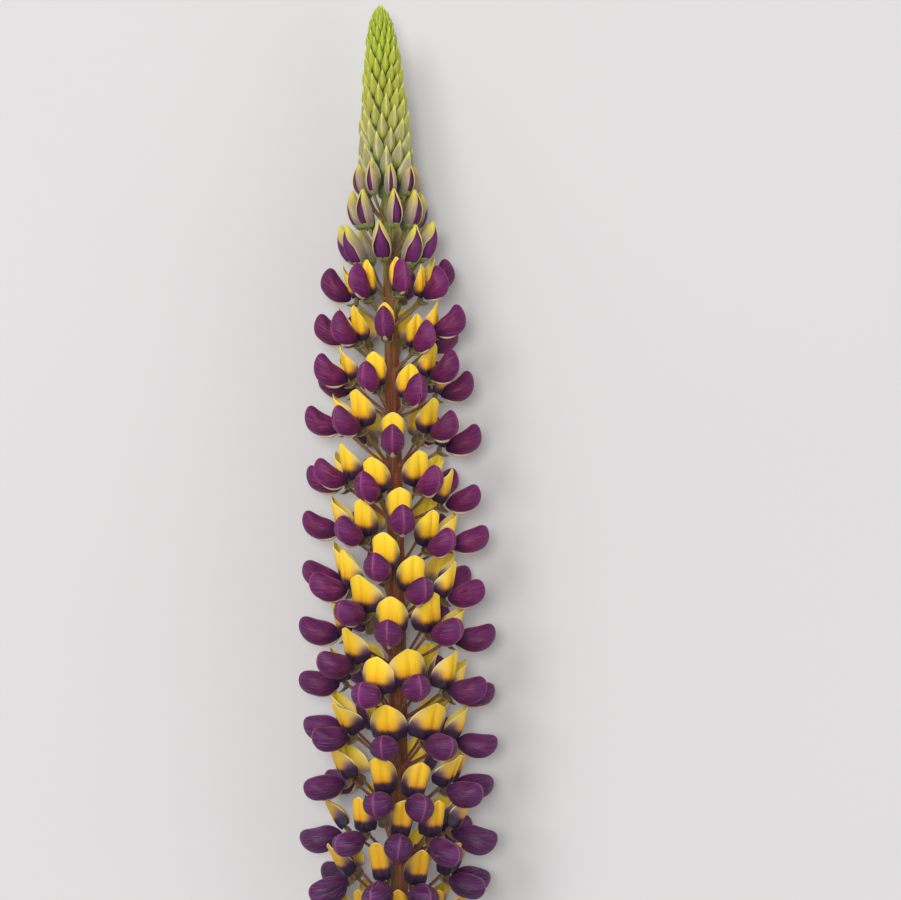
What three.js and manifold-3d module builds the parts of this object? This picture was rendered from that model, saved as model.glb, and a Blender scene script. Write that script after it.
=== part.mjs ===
// A lupin flower spike, as picked: it lies on its lower florets, with its tip towards +Y.
// Millimetres, +Z up. The stem runs through tiers of florets to a cone of green buds.
import * as THREE from 'three';
import { mergeVertices } from 'three/addons/utils/BufferGeometryUtils.js';
import Module from 'manifold-3d';

// Driving dimensions. A place along the spike is its distance from the tip, down the stem.
const STEM_LENGTH = 455; // tip to the cut end
const STEM_RADIUS = 4; // full grown, near the cut
const STEM_TAPER = 140; // length over which the stem thickens
const STEM_TAPER_START = -25;
const STEM_TOP = 67; // the stem ends here, under the cone of buds
const STEM_SIDES = 12;
const STEM_STEPS = 18;
const SPIKE_LENGTH = 386; // tip to the lowest tier
const BOW = 8.2; // how far the tip leans aside
const TIP_HEIGHT = 29; // height of the stem's middle above the surface, at the tip
const HEIGHT_GAIN = 7.5; // and how much higher it lies at the lowest tier
const GAP = 0.45; // between the stem and each tier's ring
const COLLAR_WALL = 1.6; // at its middle; it thins to both ends
const COLLAR_ROOT_SHARE = 0.3; // how deep the stalks' feet stand in that wall
const COLLAR_LENGTH = 4.5;
const SEED = 20260611;

// Tiers of open florets, from the top. level: the middle of the wing petals. rise: how far the
// wings point towards the tip, degrees. reach: their furthest point from the stem's middle.
// size: of one floret. florets: bearing round the stem from straight up, and lift to the tip.
const TIERS = [
  { level: 118.4, rise: 40, reach: 28, size: 0.86,
    florets: [[-90, -1.3], [-33, 0], [14, 1.7], [60, -0.8], [104, 3.2], [162, 0], [216, 0]] },
  { level: 138.2, rise: 32, reach: 31.5, size: 0.88,
    florets: [[-92, 0], [-50, 0], [-5, 2.1], [33, -3.4], [79, 3.4], [118, -3], [166, 0], [216, 0]] },
  { level: 157.9, rise: 25, reach: 34, size: 0.91,
    florets: [[-112, -2.1], [-72, 2.5], [-20, -0.4], [21, -6], [56, 4], [94, -4], [144, 0], [196, 0]] },
  { level: 180.2, rise: 20, reach: 37, size: 0.94,
    florets: [[-92, 3.8], [-40, 3.8], [0, -4.2], [46, 1.7], [92, -4], [150, 0], [207, 0]] },
  { level: 202.4, rise: 18, reach: 37.5, size: 0.96,
    florets: [[-100, 1.7], [-62, 4.2], [-21, -1.3], [30, 1.3], [72, -6], [136, 0], [200, 0]] },
  { level: 221.8, rise: 15, reach: 39, size: 0.98,
    florets: [[-91, 2], [-37, 0], [6, 4.6], [38, -4.6], [90, -3.8], [149, 0], [208, 0]] },
  { level: 243.2, rise: 12, reach: 40, size: 1,
    florets: [[-99, 2.1], [-62, -1.7], [-13, 6.7], [18, -2.9], [67, -4.6], [130, 0], [195, 0]] },
  { level: 262.5, rise: 8, reach: 41, size: 1,
    florets: [[-92, -1.4], [-35, 7.6], [-5, -0.8], [40, -0.4], [92, -4.2], [150, 0], [210, 0]] },
  { level: 285.6, rise: 5, reach: 41, size: 1,
    florets: [[-93, 0], [-52, 9], [-22, -2.9], [14, 0], [64, -2.1], [100, -5], [153, 0], [209, 0]] },
  { level: 307, rise: 0, reach: 41, size: 1,
    florets: [[-106, 3], [-58, 0.4], [-9, -2.1], [33, -2.1], [90, -3.4], [147, 0], [203, 0]] },
  { level: 328, rise: -2, reach: 41, size: 1,
    florets: [[-71, 2], [-14, -3.3], [16, -5], [57, -0.4], [106, 0], [160, 0], [228, 0]] },
  { level: 348, rise: -4, reach: 41, size: 1,
    florets: [[-92, 0], [-38, 1], [1, -0.8], [38, -2], [84, 0], [134, 0], [197, 0]] },
  { level: 367, rise: -6, reach: 41, size: 1,
    florets: [[-65, 0], [-16, 0], [19, -2], [60, 1], [112, 0], [164, 0], [232, 0]] },
  { level: 386, rise: -8, reach: 40, size: 0.98,
    florets: [[-90, 0], [-40, 0], [2, 0], [41, 0], [90, 0], [141, 0], [206, 0]] },
];

// Tiers of florets about to open. level: the middle of the closed petals. length, width: of them.
const BUD_TIERS = [
  { level: 74.5, rise: 79, middle: 10.6, length: 12.5, width: 6.4,
    florets: [[-78, 0], [-34, 0.5], [10, 0], [56, 0.5], [100, 0], [145, 0], [190, 0], [236, 0]] },
  { level: 87, rise: 73, middle: 13, length: 14.5, width: 7.2,
    florets: [[-97, 0], [-45, 0], [14, 0], [56, 0], [98, -1], [141, 0], [183, 0], [223, 0]] },
  { level: 101.5, rise: 62, middle: 16.8, length: 16.5, width: 8,
    florets: [[-98, 0], [-60, -1], [-9, 1], [36, -1], [74, 1], [122, 1], [168, 0], [216, 0]] },
];

// One open floret at size 1, in its own frame: +X outwards from its stalk, +Z to the banner.
// Calyx, then the wing petals, closed to a pouch: along, top, height of the widest point,
// bottom, half width.
const POUCH_RINGS = [
  [2.4, 2.1, 0.2, -2.1, 2.2],
  [8.6, 4.2, -0.6, -5.7, 5.5],
  [16.4, 5.8, 0.2, -5.6, 5.2],
];
const POUCH_TIP = [21, 2.6];
const POUCH_MIDDLE = [12, -0.6];
const POUCH_FLOOR = 0.5; // half width of the underside, as a share of the whole
// Banner petal, folded back along its middle: height up the blade, half width, depth of fold.
const BANNER_ROOT = [4.2, 1];
const BANNER_THROAT = [6.8, 2.4];
const BANNER_RISE = 76; // the blade's rise towards the tip of the spike
const BANNER_LEAST_ANGLE = 38; // between the blade and the wings
const BANNER_ROOT_HALF_WIDTH = 1.2;
const BANNER_ROOT_FOLD = 0.6;
const BANNER_RINGS = [
  [3.2, 4.6, 5.4],
  [8.8, 4.3, 4],
  [12.8, 1.6, 0.9],
];
const BANNER_THICKNESS = 1.2; // at the ridge; the edges are thin
const STALK_RADIUS = 0.75;
const STALK_RISE = 28; // towards the tip of the spike
// A stalk's section, as shares of its radius: top, height of its widest point, bottom, half
// width there and at the bottom.
const STALK_SECTION = [1, 0.3, -0.8, 1, 0.6];
// Each floret differs a little from the next: rise in degrees, size as a share.
const RISE_SCATTER = 3;
const SIZE_SCATTER = 0.03;

// One closed floret: its foot and its widest place as shares of its length, and the width of
// its foot as a share of its own.
const POD_FOOT_SHARE = 0.1;
const POD_MIDDLE_SHARE = 0.52;
const POD_FOOT_WIDTH_SHARE = 0.7;
const POD_TIP_HEIGHT = 1; // the tip hooks towards the stem
const POD_STALK_SLOPE = 1.2; // along the stem for each step outwards
const POD_RISE_SCATTER = 2;

// Cone of green buds: its half width at places from the tip, and its buds.
const CONE_LENGTH = 66.6;
const CONE_SHOULDER = 61; // the core narrows to the stem from here
const CONE_OUTLINE = [[0, 0.8], [6, 5], [19, 7.8], [40, 10.2], [70, 13.4]];
const CORE_TOP = 1;
const CORE_FOOT_RADIUS = 4.5;
const CONE_CORE_SHARE = 0.7; // of the half width
const CONE_SIDES = 8;
const BUD_COUNT = 76;
const GOLDEN_ANGLE = 137.508;
const BUD_FIRST = 4.5; // place of the foot of the topmost bud
const BUD_LAST = 65;
const BUD_LENGTHS = [4.2, 11]; // topmost, lowest
const BUD_WIDTHS = [2.4, 5.4]; // topmost, lowest
const BUD_SWELL_SHARE = 0.42; // how far up a bud its widest part is
const BUD_ROOT_DEPTH = 0.8; // in the core
const BUD_CROWDING = 0.8; // under 1, the buds stand closer down the cone

const PETAL_COLOUR = 0x5a2060;
const CLOSED_PETAL_COLOUR = 0xb9b48c;
const BUD_COLOUR = 0x9bab55;
const STEM_COLOUR = 0x7a4a35;

const LEAST_STEP = 1e-4;
const LEAST_DETAIL = 0.01; // flats narrower than this go into their neighbours
const BEND_TRIES = 24;
const MOST_RISE = 80;

const radians = THREE.MathUtils.degToRad;
const mix = THREE.MathUtils.lerp;
const wasm = await Module();
wasm.setup();

// ---- helpers ----------------------------------------------------------------------------

let randomState = SEED;

/** The next number of a fixed random row, from -1 to 1. */
function nextRandom() {
  randomState = (randomState * 1664525 + 1013904223) % 4294967296;
  return (randomState / 4294967296) * 2 - 1;
}

/** The triangles of a square a, b, c, d, cut along its shorter diagonal. */
function cutSquare(points, a, b, c, d) {
  if (points[a].distanceTo(points[c]) < points[b].distanceTo(points[d])) return [a, b, c, a, c, d];
  return [a, b, d, b, c, d];
}

/** A closed body through rings of points that turn counter-clockwise seen from its far end. */
function loft(rings) {
  const points = rings.flat();
  const faces = [];
  let start = 0;
  for (let i = 0; i + 1 < rings.length; i += 1) {
    const next = start + rings[i].length;
    const sides = Math.max(rings[i].length, rings[i + 1].length);
    for (let j = 0; j < sides; j += 1) {
      const k = (j + 1) % sides;
      if (rings[i].length === 1) faces.push(start, next + k, next + j);
      else if (rings[i + 1].length === 1) faces.push(start + j, start + k, next);
      else faces.push(...cutSquare(points, start + j, start + k, next + k, next + j));
    }
    start = next;
  }
  for (let j = 1; j + 1 < rings[0].length; j += 1) faces.push(0, j + 1, j);
  for (let j = 1; j + 1 < rings.at(-1).length; j += 1) faces.push(start, start + j, start + j + 1);
  const geometry = new THREE.BufferGeometry().setFromPoints(points);
  geometry.setIndex(faces);
  return geometry;
}

/** The exact solid of a closed geometry. */
function solidOf(geometry) {
  const bare = geometry.clone();
  bare.deleteAttribute('normal');
  bare.deleteAttribute('uv');
  const merged = mergeVertices(bare, LEAST_STEP);
  return new wasm.Manifold(new wasm.Mesh({
    numProp: 3,
    vertProperties: merged.getAttribute('position').array,
    triVerts: new Uint32Array(merged.index.array),
  }));
}

/** One closed geometry from several that cross each other. */
function fuse(geometries) {
  const whole = geometries.map(solidOf).reduce((sum, solid) => sum.add(solid));
  const mesh = whole.simplify(LEAST_DETAIL).getMesh();
  const geometry = new THREE.BufferGeometry();
  geometry.setAttribute('position', new THREE.BufferAttribute(mesh.vertProperties, 3));
  geometry.setIndex(new THREE.BufferAttribute(mesh.triVerts, 1));
  geometry.computeVertexNormals();
  return geometry;
}

/** The value at a place, between the points of a table of [place, value]. */
function between(table, place) {
  const last = table.findIndex(([at]) => at >= place);
  if (last <= 0) return last === 0 ? table[0][1] : table.at(-1)[1];
  const [from, low] = table[last - 1];
  const [to, high] = table[last];
  return mix(low, high, (place - from) / (to - from));
}

// ---- the line of the spike --------------------------------------------------------------

function stemRadius(place) {
  return STEM_RADIUS * (1 - Math.exp(-(place - STEM_TAPER_START) / STEM_TAPER));
}

function lean(place) {
  const rest = Math.max(0, 1 - place / SPIKE_LENGTH);
  return -BOW * rest * rest;
}

function heightOfStem(place) {
  return TIP_HEIGHT + (HEIGHT_GAIN * place) / SPIKE_LENGTH;
}

/** Lays a geometry that stands along a straight +Y, tip at 0, on the bowed line of the spike. */
function lay(geometry) {
  const points = geometry.getAttribute('position');
  for (let i = 0; i < points.count; i += 1) {
    const place = -points.getY(i);
    points.setX(i, points.getX(i) + lean(place));
    points.setZ(i, points.getZ(i) + heightOfStem(place));
  }
  return geometry;
}

/** The turn that carries a floret's own frame to its place round the straight spike. */
function floretMatrix(bearing, radius, place, rise) {
  const up = radians(rise);
  const axes = new THREE.Matrix4().makeBasis(
    new THREE.Vector3(0, Math.sin(up), Math.cos(up)),
    new THREE.Vector3(1, 0, 0),
    new THREE.Vector3(0, Math.cos(up), -Math.sin(up)),
  );
  axes.setPosition(0, -place, radius);
  return new THREE.Matrix4().makeRotationY(radians(bearing)).multiply(axes);
}

// ---- one floret -------------------------------------------------------------------------

/** A five-sided ring across a line in the floret's middle plane, at an angle to +X. */
function ringAcross(along, height, angle, [top, widest, bottom, half, floorHalf]) {
  const corner = (across, up) => new THREE.Vector3(
    along - up * Math.sin(angle),
    across,
    height + up * Math.cos(angle),
  );
  return [
    corner(half, widest),
    corner(0, top),
    corner(-half, widest),
    corner(-floorHalf, bottom),
    corner(floorHalf, bottom),
  ];
}

function roundRing(along, height, angle, radius) {
  return ringAcross(along, height, angle, STALK_SECTION.map((share) => share * radius));
}

/** Stalk from its root at [along, height] in the floret's frame, calyx and wing petals. */
function pouch(size, root) {
  const angle = Math.atan2(-root[1], -root[0]);
  const rings = POUCH_RINGS.map(([along, top, widest, bottom, half]) => ringAcross(
    along * size, 0, 0, [top, widest, bottom, half, half * POUCH_FLOOR].map((x) => x * size)));
  return loft([
    roundRing(root[0], root[1], angle, STALK_RADIUS),
    roundRing(0, 0, angle / 2, STALK_RADIUS),
    ...rings,
    [new THREE.Vector3(POUCH_TIP[0] * size, 0, POUCH_TIP[1] * size)],
  ]);
}

/** The banner, with its blade at an angle to the wings. */
function banner(size, angle) {
  const blade = new THREE.Vector3(Math.cos(angle), 0, Math.sin(angle));
  const back = new THREE.Vector3(-Math.sin(angle), 0, Math.cos(angle));
  const side = new THREE.Vector3(0, 1, 0);
  const section = (middle, half, fold) => [
    middle.clone(),
    middle.clone().addScaledVector(side, half).addScaledVector(back, fold),
    middle.clone().addScaledVector(back, BANNER_THICKNESS),
    middle.clone().addScaledVector(side, -half).addScaledVector(back, fold),
  ];
  const root = new THREE.Vector3(BANNER_ROOT[0], 0, BANNER_ROOT[1]);
  const throat = new THREE.Vector3(BANNER_THROAT[0], 0, BANNER_THROAT[1]);
  const rings = BANNER_RINGS.map(([height, half, fold]) => (
    section(throat.clone().addScaledVector(blade, height), half, fold)));
  rings.unshift(section(root, BANNER_ROOT_HALF_WIDTH, BANNER_ROOT_FOLD));
  return loft(rings).scale(size, size, size);
}

/** A square ring across a line that runs in the floret's middle plane. */
function squareRing(along, height, direction, radius) {
  const across = radius * Math.sin(direction);
  const upwards = radius * Math.cos(direction);
  return [
    new THREE.Vector3(along, radius, height),
    new THREE.Vector3(along - across, 0, height + upwards),
    new THREE.Vector3(along, -radius, height),
    new THREE.Vector3(along + across, 0, height - upwards),
  ];
}

/** A point of the spike's cross plane, [radius, place], in the frame of a floret there. */
function inFloret([radius, place], seat) {
  const up = radians(seat.rise);
  const out = radius - seat.radius;
  const tipward = seat.place - place;
  return [
    out * Math.cos(up) + tipward * Math.sin(up),
    -out * Math.sin(up) + tipward * Math.cos(up),
  ];
}

/** Where a floret's stalk starts, in the wall of the ring at a place, in the floret's frame. */
function stalkRoot(place, seat) {
  return inFloret([stemRadius(place) + GAP + COLLAR_WALL * COLLAR_ROOT_SHARE, place], seat);
}

/** Height above the surface of the lowest point of a floret's wings. */
function lowestOfWings(seat) {
  const up = radians(seat.rise);
  const bearing = radians(seat.bearing);
  const corners = POUCH_RINGS.flatMap(([along, , middle, bottom, half]) => [
    [along, middle, half],
    [along, bottom, half * POUCH_FLOOR],
  ]);
  corners.push([...POUCH_TIP, 0]);
  return Math.min(...corners.map(([along, height, half]) => {
    const radius = seat.radius + seat.size * (along * Math.cos(up) - height * Math.sin(up));
    const place = seat.place - seat.size * (along * Math.sin(up) + height * Math.cos(up));
    return heightOfStem(place) + radius * Math.cos(bearing)
      - seat.size * half * Math.abs(Math.sin(bearing));
  }));
}

/** The weight of the spike presses the florets under it towards the tip: how far is found here. */
function pressed(seat) {
  if (lowestOfWings(seat) >= 0) return seat;
  let low = seat.rise;
  let high = MOST_RISE;
  for (let i = 0; i < BEND_TRIES; i += 1) {
    const rise = (low + high) / 2;
    if (lowestOfWings({ ...seat, rise }) < 0) low = rise;
    else high = rise;
  }
  return { ...seat, rise: high };
}

/** How far from the stem's middle a floret's calyx starts, for its wings to end at the reach. */
function calyxRadius(tier, size) {
  return tier.reach - size * POUCH_TIP[0] * Math.cos(radians(tier.rise));
}

/** Where a floret of a tier sits: the foot of its calyx, by radius and place, and its rise. */
function seatOf(tier, [bearing, lift]) {
  const rise = tier.rise + RISE_SCATTER * nextRandom();
  const size = tier.size * (1 + SIZE_SCATTER * nextRandom());
  const up = radians(rise);
  const radius = calyxRadius(tier, size);
  const tipward = size * (POUCH_MIDDLE[0] * Math.sin(up) + POUCH_MIDDLE[1] * Math.cos(up));
  return pressed({ bearing, rise, size, radius, place: tier.level - lift + tipward });
}

function floret(seat, rootPlace) {
  const root = stalkRoot(rootPlace, seat);
  const angle = Math.max(BANNER_RISE - seat.rise, BANNER_LEAST_ANGLE);
  const parts = [pouch(seat.size, root), banner(seat.size, radians(angle))];
  const matrix = floretMatrix(seat.bearing, seat.radius, seat.place, seat.rise);
  return parts.map((part) => lay(part.applyMatrix4(matrix)));
}

// ---- the nodes --------------------------------------------------------------------------

/** A thin ring of stalk feet round the stem, clear of it. */
function collar(place) {
  const inner = stemRadius(place + COLLAR_LENGTH / 2) + GAP;
  const outer = inner + COLLAR_WALL;
  const low = -place - COLLAR_LENGTH / 2;
  const high = -place + COLLAR_LENGTH / 2;
  const profile = [[inner, low], [outer, -place], [inner, high], [inner, low]];
  const points = profile.map(([radius, y]) => new THREE.Vector2(radius, y));
  return lay(new THREE.LatheGeometry(points, STEM_SIDES));
}

function flowerTier(tier) {
  const drop = calyxRadius(tier, tier.size) * Math.tan(radians(STALK_RISE));
  const foot = tier.level + tier.size * POUCH_MIDDLE[0] * Math.sin(radians(tier.rise)) + drop;
  const parts = [collar(foot)];
  for (const place of tier.florets) {
    const seat = seatOf(tier, place);
    const shift = THREE.MathUtils.clamp(-place[1], -COLLAR_LENGTH / 4, COLLAR_LENGTH / 4);
    parts.push(...floret(seat, foot + shift));
  }
  return fuse(parts);
}

/** Where a closed floret of a tier starts: by radius and place. */
function podFoot(tier) {
  const up = radians(tier.rise);
  const half = tier.length / 2;
  return [tier.middle - half * Math.cos(up), tier.level + half * Math.sin(up)];
}

/** Where the stalk of a closed floret leaves the stem. */
function podRootPlace(radius, place) {
  return place + (radius - stemRadius(place)) * POD_STALK_SLOPE;
}

/** Petals still folded together: a pod on its stalk. */
function closedFloret(tier, [bearing, lift]) {
  const rise = tier.rise + POD_RISE_SCATTER * nextRandom();
  const [radius, level] = podFoot(tier);
  const place = level - lift;
  const root = stalkRoot(podRootPlace(radius, place), { rise, radius, place });
  const half = tier.width / 2;
  const pod = loft([
    squareRing(root[0], root[1], Math.atan2(-root[1], -root[0]), STALK_RADIUS),
    squareRing(tier.length * POD_FOOT_SHARE, 0, 0, half * POD_FOOT_WIDTH_SHARE),
    squareRing(tier.length * POD_MIDDLE_SHARE, 0, 0, half),
    [new THREE.Vector3(tier.length, 0, POD_TIP_HEIGHT)],
  ]);
  return lay(pod.applyMatrix4(floretMatrix(bearing, radius, place, rise)));
}

function budTier(tier) {
  const parts = tier.florets.map((place) => closedFloret(tier, place));
  return fuse([collar(podRootPlace(...podFoot(tier))), ...parts]);
}

function coneCore() {
  const points = CONE_OUTLINE.filter(([place]) => place < CONE_SHOULDER)
    .map(([place, half]) => [place, half * CONE_CORE_SHARE]);
  points[0] = [CORE_TOP, 0];
  points.push([CONE_SHOULDER, between(CONE_OUTLINE, CONE_SHOULDER) * CONE_CORE_SHARE]);
  points.push([CONE_LENGTH, CORE_FOOT_RADIUS]);
  points.push([CONE_LENGTH, 0]);
  const profile = points.reverse().map(([place, half]) => new THREE.Vector2(half, -place));
  return lay(new THREE.LatheGeometry(profile, CONE_SIDES));
}

/** One green bud of the cone, counted from the top. */
function greenBud(index) {
  const share = index / (BUD_COUNT - 1);
  const foot = mix(BUD_FIRST, BUD_LAST, share ** BUD_CROWDING);
  const length = mix(...BUD_LENGTHS, Math.sqrt(share));
  const half = mix(...BUD_WIDTHS, Math.sqrt(share)) / 2;
  const out = between(CONE_OUTLINE, foot);
  const bud = loft([
    [new THREE.Vector3(0, 0, 0)],
    squareRing(length * BUD_SWELL_SHARE, 0, 0, half),
    [new THREE.Vector3(length, 0, half)],
  ]);
  const radius = out * CONE_CORE_SHARE - BUD_ROOT_DEPTH;
  const rise = Math.atan2(length * BUD_SWELL_SHARE, out - half - radius);
  const matrix = floretMatrix(GOLDEN_ANGLE * index, radius, foot, THREE.MathUtils.radToDeg(rise));
  return lay(bud.applyMatrix4(matrix));
}

function budCone() {
  const parts = [coneCore()];
  for (let i = 0; i < BUD_COUNT; i += 1) parts.push(greenBud(i));
  return fuse(parts);
}

function flowerStem() {
  const rings = [];
  for (let i = 0; i <= STEM_STEPS; i += 1) {
    const place = mix(STEM_LENGTH, STEM_TOP, i / STEM_STEPS);
    const radius = stemRadius(place);
    const ring = [];
    for (let j = 0; j < STEM_SIDES; j += 1) {
      const turn = (2 * Math.PI * j) / STEM_SIDES;
      ring.push(new THREE.Vector3(radius * Math.sin(turn), -place, radius * Math.cos(turn)));
    }
    rings.push(ring);
  }
  return lay(loft(rings));
}

// ---- the spike --------------------------------------------------------------------------

function skin(color, roughness) {
  return new THREE.MeshStandardMaterial({ color, roughness, metalness: 0 });
}

const petals = skin(PETAL_COLOUR, 0.55);
const closedPetals = skin(CLOSED_PETAL_COLOUR, 0.6);
const green = skin(BUD_COLOUR, 0.65);
const stemSkin = skin(STEM_COLOUR, 0.6);

const group = new THREE.Group();

function addNode(name, geometry, material) {
  const mesh = new THREE.Mesh(geometry, material);
  mesh.name = name;
  group.add(mesh);
}

const twoDigits = (number) => String(number).padStart(2, '0');

addNode('flower_stem', flowerStem(), stemSkin);
TIERS.forEach((tier, i) => addNode(`floret_tier_${twoDigits(i + 1)}`, flowerTier(tier), petals));
BUD_TIERS.forEach((tier, i) => addNode(`opening_tier_${i + 1}`, budTier(tier), closedPetals));
addNode('bud_cone', budCone(), green);

// The part's frame has its origin under the middle of its box, on the surface.
const box = new THREE.Box3().setFromObject(group);
const middle = box.getCenter(new THREE.Vector3());
group.position.set(-middle.x, -middle.y, -box.min.z);
group.updateMatrixWorld(true);

export default group;
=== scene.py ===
# A lupin flower spike lying on a pale floor, seen from straight above.
# Sizes are in millimetres; the pieces are made in metres. A place along the spike is its
# distance from the tip, down the stem. A bearing is the turn round the stem from straight up.
import functools
import math
from types import SimpleNamespace

import bpy
import numpy as np
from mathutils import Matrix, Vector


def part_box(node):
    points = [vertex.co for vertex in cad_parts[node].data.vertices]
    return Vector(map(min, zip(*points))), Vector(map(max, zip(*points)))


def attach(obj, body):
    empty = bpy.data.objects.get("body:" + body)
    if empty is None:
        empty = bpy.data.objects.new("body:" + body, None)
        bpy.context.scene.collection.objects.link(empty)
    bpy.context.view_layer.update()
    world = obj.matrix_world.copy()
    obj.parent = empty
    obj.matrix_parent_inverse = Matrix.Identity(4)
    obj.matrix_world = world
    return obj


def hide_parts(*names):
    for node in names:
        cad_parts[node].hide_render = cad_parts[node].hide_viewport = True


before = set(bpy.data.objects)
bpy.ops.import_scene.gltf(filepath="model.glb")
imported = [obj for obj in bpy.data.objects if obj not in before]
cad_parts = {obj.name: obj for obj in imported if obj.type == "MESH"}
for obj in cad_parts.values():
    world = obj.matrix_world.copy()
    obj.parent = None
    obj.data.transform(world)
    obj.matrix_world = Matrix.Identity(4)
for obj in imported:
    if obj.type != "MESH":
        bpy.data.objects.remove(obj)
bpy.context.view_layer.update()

MM = 0.001

# ---- the spike ----
STEM_LENGTH = 455
STEM_RADIUS = 4
STEM_TAPER = 140
STEM_TAPER_START = -25
STEM_TOP = 58
SPIKE_LENGTH = 386
BOW = 8.2
TIP_HEIGHT = 29
HEIGHT_GAIN = 7.5
COLLAR_LENGTH = 4.5
STALK_FOOT_CLEARANCE = 0.93  # from the stem's skin to the foot of a stalk in the solid
STALK_RISE = 28
SEED = 20260611
RISE_SCATTER = 3
SIZE_SCATTER = 0.03
POD_RISE_SCATTER = 2
POD_STALK_SLOPE = 1.2
MOST_RISE = 80
BEND_TRIES = 24
FLOOR_SOFTNESS = 0.3
LEAST_NORMAL = 1e-9
CURVE_STEPS = 12
TUBE_SIDES = 12

# Tiers of open florets from the top: level, rise, reach, size, then (bearing, lift) of each.
TIERS = (
    (118.4, 40, 28, 0.86,
     ((-90, -1.3), (-33, 0), (14, 1.7), (60, -0.8), (104, 3.2), (162, 0), (216, 0))),
    (138.2, 32, 31.5, 0.88,
     ((-92, 0), (-50, 0), (-5, 2.1), (33, -3.4), (79, 3.4), (118, -3), (166, 0), (216, 0))),
    (157.9, 25, 34, 0.91,
     ((-112, -2.1), (-72, 2.5), (-20, -0.4), (21, -6), (56, 4), (94, -4), (144, 0), (196, 0))),
    (180.2, 20, 37, 0.94,
     ((-92, 3.8), (-40, 3.8), (0, -4.2), (46, 1.7), (92, -4), (150, 0), (207, 0))),
    (202.4, 18, 37.5, 0.96,
     ((-100, 1.7), (-62, 4.2), (-21, -1.3), (30, 1.3), (72, -6), (136, 0), (200, 0))),
    (221.8, 15, 39, 0.98,
     ((-91, 2), (-37, 0), (6, 4.6), (38, -4.6), (90, -3.8), (149, 0), (208, 0))),
    (243.2, 12, 40, 1,
     ((-99, 2.1), (-62, -1.7), (-13, 6.7), (18, -2.9), (67, -4.6), (130, 0), (195, 0))),
    (262.5, 8, 41, 1,
     ((-92, -1.4), (-35, 7.6), (-5, -0.8), (40, -0.4), (92, -4.2), (150, 0), (210, 0))),
    (285.6, 5, 41, 1,
     ((-93, 0), (-52, 9), (-22, -2.9), (14, 0), (64, -2.1), (100, -5), (153, 0), (209, 0))),
    (307, 0, 41, 1,
     ((-106, 3), (-58, 0.4), (-9, -2.1), (33, -2.1), (90, -3.4), (147, 0), (203, 0))),
    (328, -2, 41, 1,
     ((-71, 2), (-14, -3.3), (16, -5), (57, -0.4), (106, 0), (160, 0), (228, 0))),
    (348, -4, 41, 1,
     ((-92, 0), (-38, 1), (1, -0.8), (38, -2), (84, 0), (134, 0), (197, 0))),
    (367, -6, 41, 1,
     ((-65, 0), (-16, 0), (19, -2), (60, 1), (112, 0), (164, 0), (232, 0))),
    (386, -8, 40, 0.98,
     ((-90, 0), (-40, 0), (2, 0), (41, 0), (90, 0), (141, 0), (206, 0))),
)

# Tiers about to open: level, rise, middle, length, width, then (bearing, lift) of each.
POD_TIERS = (
    (74.5, 79, 10.6, 12.5, 6.4,
     ((-78, 0), (-34, 0.5), (10, 0), (56, 0.5), (100, 0), (145, 0), (190, 0), (236, 0))),
    (87, 73, 13, 14.5, 7.2,
     ((-97, 0), (-45, 0), (14, 0), (56, 0), (98, -1), (141, 0), (183, 0), (223, 0))),
    (101.5, 62, 16.8, 16.5, 8,
     ((-98, 0), (-60, -1), (-9, 1), (36, -1), (74, 1), (122, 1), (168, 0), (216, 0))),
)

# Corners of a floret's wings in the solid: along, half width, height. The lowest of them
# decides how far a floret below is pressed.
POUCH_CORNERS = ((2.4, 2.2, 0.2), (2.4, 1.1, -2.1), (8.6, 5.5, -0.6), (8.6, 2.75, -5.7),
                 (16.4, 5.2, 0.2), (16.4, 2.6, -5.6), (21, 0, 2.6))
POUCH_REACH = 21
POUCH_MIDDLE = (12, -0.6)
BANNER_RISE = 76
BANNER_LEAST_ANGLE = 38

# ---- one open floret, at size 1: x outwards from the stalk, z to the banner ----
# The margin of a wing petal, freshly opened with its tip turned up, and full grown.
WING_YOUNG = ((4, 0.4), (7.2, 3), (10.5, 3.9), (13.5, 4.5), (16.4, 5.6), (18.9, 6.6),
              (20.8, 5.9), (21.5, 3.2), (20.9, -0.6), (18.8, -3.9), (15.4, -5.8), (11.6, -6.1),
              (8, -4.9), (5.2, -2.5))
WING_FULL = ((3.9, 0.6), (6.7, 3.9), (10, 5.4), (13.4, 5.7), (16.6, 5.9), (19.2, 5.8),
             (21, 4.4), (21.6, 1.6), (20.8, -1.8), (18.4, -4.6), (14.9, -6.1), (11, -6.2),
             (7.6, -4.9), (5, -2.1))
WING_POLE = (13.4, -0.4)
WING_RINGS = (1, 0.985, 0.95, 0.88, 0.77, 0.62, 0.44, 0.24)
WING_SIDES = 40
WING_HALF = 5.2
WING_THICKNESS = 0.3
WING_BASE = (4, 0.4)
WING_LENGTH = 17
WING_HINGE = 6.5  # where a parted wing bends outwards
WING_YIELD = 0.3  # how far its bowl turns with it
# Where the two wings stand apart: the middle of the gap, how far it spreads along and up.
WING_NOTCH = ((18.2, -4.4), (1.9, 1.6))
WING_MOUTH = ((12.5, 4.2), (3.6, 1.3))
WING_LIP = -0.06
WING_LIP_RUN = 0.03
WING_RIPPLE = 0.16
WING_WAVE = 0.25

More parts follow.
